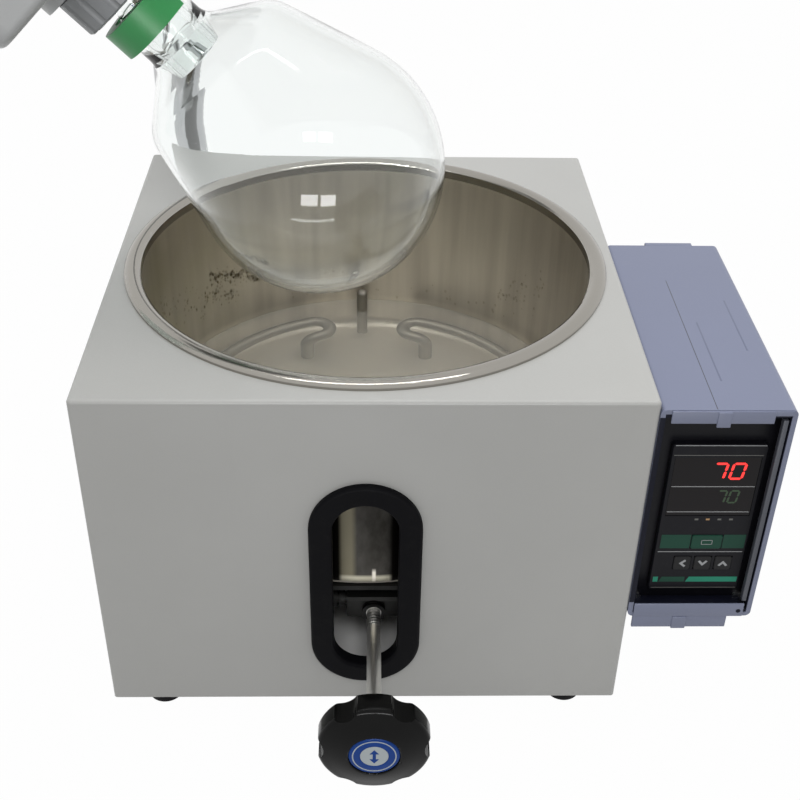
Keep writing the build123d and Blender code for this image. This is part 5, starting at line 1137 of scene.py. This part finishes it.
@dataclass
class ControllerPanel(Assembly):
    """The temperature controller's face: window, digits, lines, lamps, keys and strip."""

    nodes = {"panel_black": ("controller_face",), "window_smoke": ("display_window",),
             "key_green": ("set_key",), "key_dark": ("left_key", "down_key", "up_key")}
    front: float = 6.7
    window_front: float = 7.0
    key_front: float = 6.1
    slant: float = 0.14
    skin: float = 0.06
    bar_length: float = 0.94
    bar_width: float = 0.14
    set_key: Point = (176.9, 108.5)
    arrow_z: float = 94.0

    def bar(self, x: float, z: float, length: float, width: float, standing: bool) -> Piece:
        """One display bar with pointed ends.

        Args:
            x: Its middle across, in millimetres.
            z: Its middle height.
            length: Its length.
            width: Its width.
            standing: True if it is upright.

        Returns:
            The bar.
        """
        a, w = length / 2, width / 2
        outline = [(-a, 0), (-a + w, -w), (a - w, -w), (a, 0), (a - w, w), (-a + w, w)]
        if standing:
            outline = [(-q + self.slant * p, p) for p, q in outline]
        return plate_of("display_bar", outline, self.skin, facing_front(x, self.window_front, z))

    def digits(self) -> None:
        """Writes 70 twice: the measured and the set temperature."""
        for name, finish, left, low, width, height, pitch in (
                ("digits_measured", "digit_red", 172.5, 149.8, 6.2, 9.4, 9.2),
                ("digits_set", "digit_green", 177.0, 134.4, 4.3, 7.6, 6.2)):
            bars = []
            for place, shape in enumerate((SEVEN, NOUGHT)):
                for segment in shape:
                    across, up, standing = segment.value
                    x = left + place * pitch + across * width + self.slant * up * height
                    length = (height / 2 if standing else width) * self.bar_length
                    bars.append(self.bar(x, low + up * height, length, height * self.bar_width,
                                         standing))
            self.finishes.on_piece(finish, joined(name, bars), "bath", "smoke_window")

    def flat(self, name: str, finish: str, outline: Profile, skin: float,
             body: str = "bath") -> None:
        """A flat printed shape, its outline given across and up in machine millimetres."""
        piece = plate_of(name, outline, self.skin, facing_front(0, skin, 0))
        self.finishes.on_piece(finish, piece, body, "black_panel")

    def strip(self, name: str, finish: str, x0: float, x1: float, z0: float, z1: float,
              skin: float, lean: float = 0.0) -> None:
        """A straight strip, with its left end leaning if asked."""
        outline = [(x0, z0), (x1, z0), (x1, z1), (x0 + lean, z1)]
        self.flat(name, finish, outline, skin)

    def lines(self) -> None:
        """The thin lines that part the panel into fields."""
        for i, (z, x0, x1, finish, skin) in enumerate((
                (170.6, 152.0, 197.2, "mark_grey", self.front),
                (164.6, 152.0, 196.6, "line_grey", self.front),
                (144.7, 153.4, 195.6, "mark_grey", self.window_front),
                (128.3, 153.4, 195.6, "mark_grey", self.window_front),
                (101.6, 152.4, 196.8, "mark_grey", self.front),
                (76.4, 152.0, 197.4, "line_grey", self.front))):
            self.strip(f"panel_line_{i}", finish, x0, x1, z - 0.2, z + 0.2, skin)

    def lamps(self) -> None:
        """The row of small lamps under the window; one is lit."""
        for i, x in enumerate((168.4, 174.2, 180.2, 186.2)):
            finish = "lamp_amber" if i == 1 else "line_grey"
            self.strip(f"panel_lamp_{i}", finish, x, x + 1.9, 123.0, 124.1, self.front)

    def green_fields(self) -> None:
        """The bar round the set key and the bright strip at the foot with its leaning part."""
        self.strip("set_bar_left", "bar_green", 153.0, 168.4, 104.0, 113.2, self.front)
        self.strip("set_bar_right", "bar_green", 185.4, 197.0, 104.0, 113.2, self.front)
        self.strip("foot_strip_left", "strip_green", 152.4, 155.0, 80.5, 84.0, self.front)
        self.strip("foot_strip_dark", "bar_green", 155.4, 169.2, 80.5, 84.0, self.front, 1.6)
        self.strip("foot_strip_right", "strip_green", 169.8, 197.2, 80.5, 84.0, self.front, 1.6)

    def key_marks(self) -> None:
        """The outline on the set key and a chevron on each arrow key."""
        skin = self.key_front
        (x, z), w, h, t = self.set_key, 2.9, 1.5, 0.3
        corners = ((-w, -h, w, -h + t), (-w, h - t, w, h), (-w, -h, -w + t, h), (w - t, -h, w, h))
        for i, (x0, z0, x1, z1) in enumerate(corners):
            outline = [(x + x0, z + z0), (x + x1, z + z0), (x + x1, z + z1), (x + x0, z + z1)]
            self.flat(f"set_mark_{i}", "mark_grey", outline, skin, "set_key")
        shape = [(-2.6, -1.3), (-1.6, -2.0), (0, -0.2), (1.6, -2.0), (2.6, -1.3), (0, 1.7)]
        for key, x, turn in (("left_key", 166.1, 90), ("down_key", 176.9, 180),
                             ("up_key", 187.7, 0)):
            angle = math.radians(turn)
            outline = [(x + p * math.cos(angle) - q * math.sin(angle),
                        self.arrow_z + p * math.sin(angle) + q * math.cos(angle))
                       for p, q in shape]
            self.flat(f"{key}_mark", "mark_grey", outline, skin, key)

    def shapes(self) -> None:
        """Adds the lit digits and the print."""
        self.digits()
        self.lines()
        self.lamps()
        self.green_fields()
        self.key_marks()


@dataclass
class DriveHead(Assembly):
    """The head on the column: housing, motor, gears, shaft, chuck and speed knob."""

    nodes = {"head_paint": ("head_housing",),
             "housing_plastic": ("head_cover", "chuck_nut", "condenser_nut"),
             "gear_steel": ("shaft_bearings", "drive_motor", "pinion", "driven_gear"),
             "bright_steel": ("hollow_shaft",), "knob_black": ("speed_knob",),
             "ptfe_white": ("vacuum_seal",), "clip_green": ("flask_clip",)}


@dataclass
class Glassware(Assembly):
    """The evaporating flask, vapour tube, condenser with its coil, and receiving flask."""

    nodes = {"clear_glass": ("vapour_tube",), "ptfe_white": ("feed_stopcock",),
             "cooler_glass": ("condenser", "cooling_coil", "receiving_flask"),
             "bright_steel": ("ball_clamp",)}
    bulb_r: float = 65.5
    wall: float = 2.0
    neck_r: float = 17.5
    neck_end: float = 112.0
    neck_l: float = 20.0
    neck_blend: float = 9.0
    cone: float = 17.5
    shoulder_l: float = 20.0
    shoulder_round: float = 20.0

    def pear(self, inset: float) -> list[Point]:
        """One surface of the pear-shaped flask, from its pole to the neck.

        Args:
            inset: How far the surface lies inside the outer one.

        Returns:
            The profile's points.
        """
        radius, neck_r = self.bulb_r - inset, self.neck_r - inset
        slope = math.radians(self.cone)
        neck_start = self.neck_end - self.neck_l - inset / 2
        shoulder = neck_start - self.shoulder_l
        shoulder_r = radius / math.cos(slope) - shoulder * math.tan(slope)
        touch = (radius * math.cos(slope), radius * math.sin(slope))
        bend, joint = (shoulder_r, shoulder), (neck_r, neck_start)
        points = [(0.0, -radius)] + arc((0, 0), radius, -88, self.cone, 52)
        points += rounded(touch, bend, joint, self.shoulder_round - inset)
        points += rounded(bend, joint, (neck_r, self.neck_end), self.neck_blend + inset)
        return points

    def shapes(self) -> None:
        """Adds the large flask that turns over the bath."""
        lip = [(17.5, 106.6), (18.1, 107.0), (19.2, 107.2), (19.5, 107.8), (19.5, 111.2),
               (19.2, 111.8), (18.4, 112.0), (15.9, 112.0), (15.28, 111.4), (13.7, 80.4)]
        inner = [p for p in self.pear(self.wall) if p[1] < 79.0 or p[0] > 16.5]
        profile = self.pear(0.0) + lip + inner[::-1]
        piece = turned("evaporating_flask_glass", profile, on_shaft(), 128)
        self.finishes.on_piece("clear_glass", piece, "rotor", "clear_glass",
                               "evaporating_flask", smooth=70)


# Studio

class LampUse(Enum):
    """Whether a lamp lights surfaces, and whether gloss mirrors it."""

    SOFT_LIGHT = (True, False)
    WINDOW = (False, True)


@dataclass
class Studio:
    """The plain white studio: floor, world, lamps and the photograph's camera."""

    eye: Vector = Vector((0.07668, -0.63223, 0.53913))
    look: Vector = Vector((0.02657, 0.82281, -0.56770))
    across: Vector = Vector((0.99964, -0.02039, 0.01724))
    lens: float = 55.4
    ambient: float = 0.42
    floor_size: float = 9.0
    floor_glow: float = 0.985
    aim: Vector = Vector((0.05, 0.0, 0.2))

    def camera(self) -> None:
        """Sets the camera that the photograph was taken with."""
        back = -self.look.normalized()
        right = (self.across - back * self.across.dot(back)).normalized()
        turn = Matrix((right, back.cross(right), back)).transposed().to_4x4()
        clear_selection()
        bpy.ops.object.camera_add()
        camera = bpy.context.object
        camera.name = "photo_camera"
        camera.matrix_world = Matrix.Translation(self.eye) @ turn
        camera.data.lens = self.lens
        camera.data.sensor_width = 36
        camera.data.clip_start = 0.01
        camera.data.clip_end = 60
        bpy.context.scene.camera = camera

    def world(self) -> None:
        """A white surround that lights the object softly."""
        s = Shader("white_studio", world=True)
        light = s.spread(s.shown(), self.ambient, 1.0)
        sky = s.wired("ShaderNodeBackground", {0: (1.0, 1.0, 1.0), 1: light})
        bpy.context.scene.world = s.done(sky)

    def floor(self) -> None:
        """The bench: white to the eye, and it keeps the object's soft shadow."""
        clear_selection()
        bpy.ops.mesh.primitive_plane_add(size=self.floor_size)
        floor = new_piece("bench")
        s = Shader("white_bench")
        grain = s.blend(s.noise(s.place, 30, 3), (0.48, 0.48, 0.48), (0.52, 0.52, 0.52))
        share = s.times(s.shown(), self.floor_glow)
        bench = s.mixed(share, s.wired("ShaderNodeBsdfDiffuse", {0: grain}),
                        s.wired("ShaderNodeEmission", {1: 1.0}))
        floor.data.materials.append(s.done(bench))

    def lamps(self) -> None:
        """Hangs the soft boxes, and the strip and window panes that gloss mirrors."""
        for name, place, width, height, power, use in (
                ("overhead_softbox", (0.1, 0.1, 1.75), 1.5, 1.2, 14.0, LampUse.SOFT_LIGHT),
                ("front_softbox", (0.1, -1.3, 1.6), 0.5, 0.4, 8.5, LampUse.SOFT_LIGHT),
                ("ceiling_strip", (0.08, -0.30, 1.75), 1.3, 0.05, 4.6, LampUse.WINDOW),
                ("window_left_pane", (-0.039, -1.0, 0.196), 0.234, 0.162, 1.8, LampUse.WINDOW),
                ("window_right_pane", (0.222, -1.0, 0.187), 0.207, 0.162, 1.8, LampUse.WINDOW)):
            clear_selection()
            bpy.ops.object.light_add(type="AREA", location=place)
            lamp = bpy.context.object
            lamp.name = name
            lamp.data.shape = "RECTANGLE"
            lamp.data.size, lamp.data.size_y, lamp.data.energy = width, height, power
            lamp.visible_diffuse, mirrored = use.value
            lamp.visible_glossy = lamp.visible_transmission = mirrored
            towards = self.aim - Vector(place)
            lamp.rotation_euler = towards.to_track_quat("-Z", "Y").to_euler()

    def build(self) -> None:
        """Builds the studio."""
        self.camera()
        self.world()
        self.floor()
        self.lamps()
        bpy.context.scene.view_settings.view_transform = "Standard"


def main() -> None:
    """Builds the machine's looks, part by part, then the studio."""
    logging.basicConfig(level=logging.INFO, format="%(message)s")
    finishes = Finishes()
    assemblies = (Stand(finishes), BathCase(finishes), BathVessel(finishes),
                  LiftJack(finishes), ControlBox(finishes), ControllerPanel(finishes),
                  DriveHead(finishes), Glassware(finishes))
    for assembly in assemblies:
        LOG.info("building %s", type(assembly).__name__)
        assembly.build()
    Studio().build()


if __name__ == "__main__":
    main()
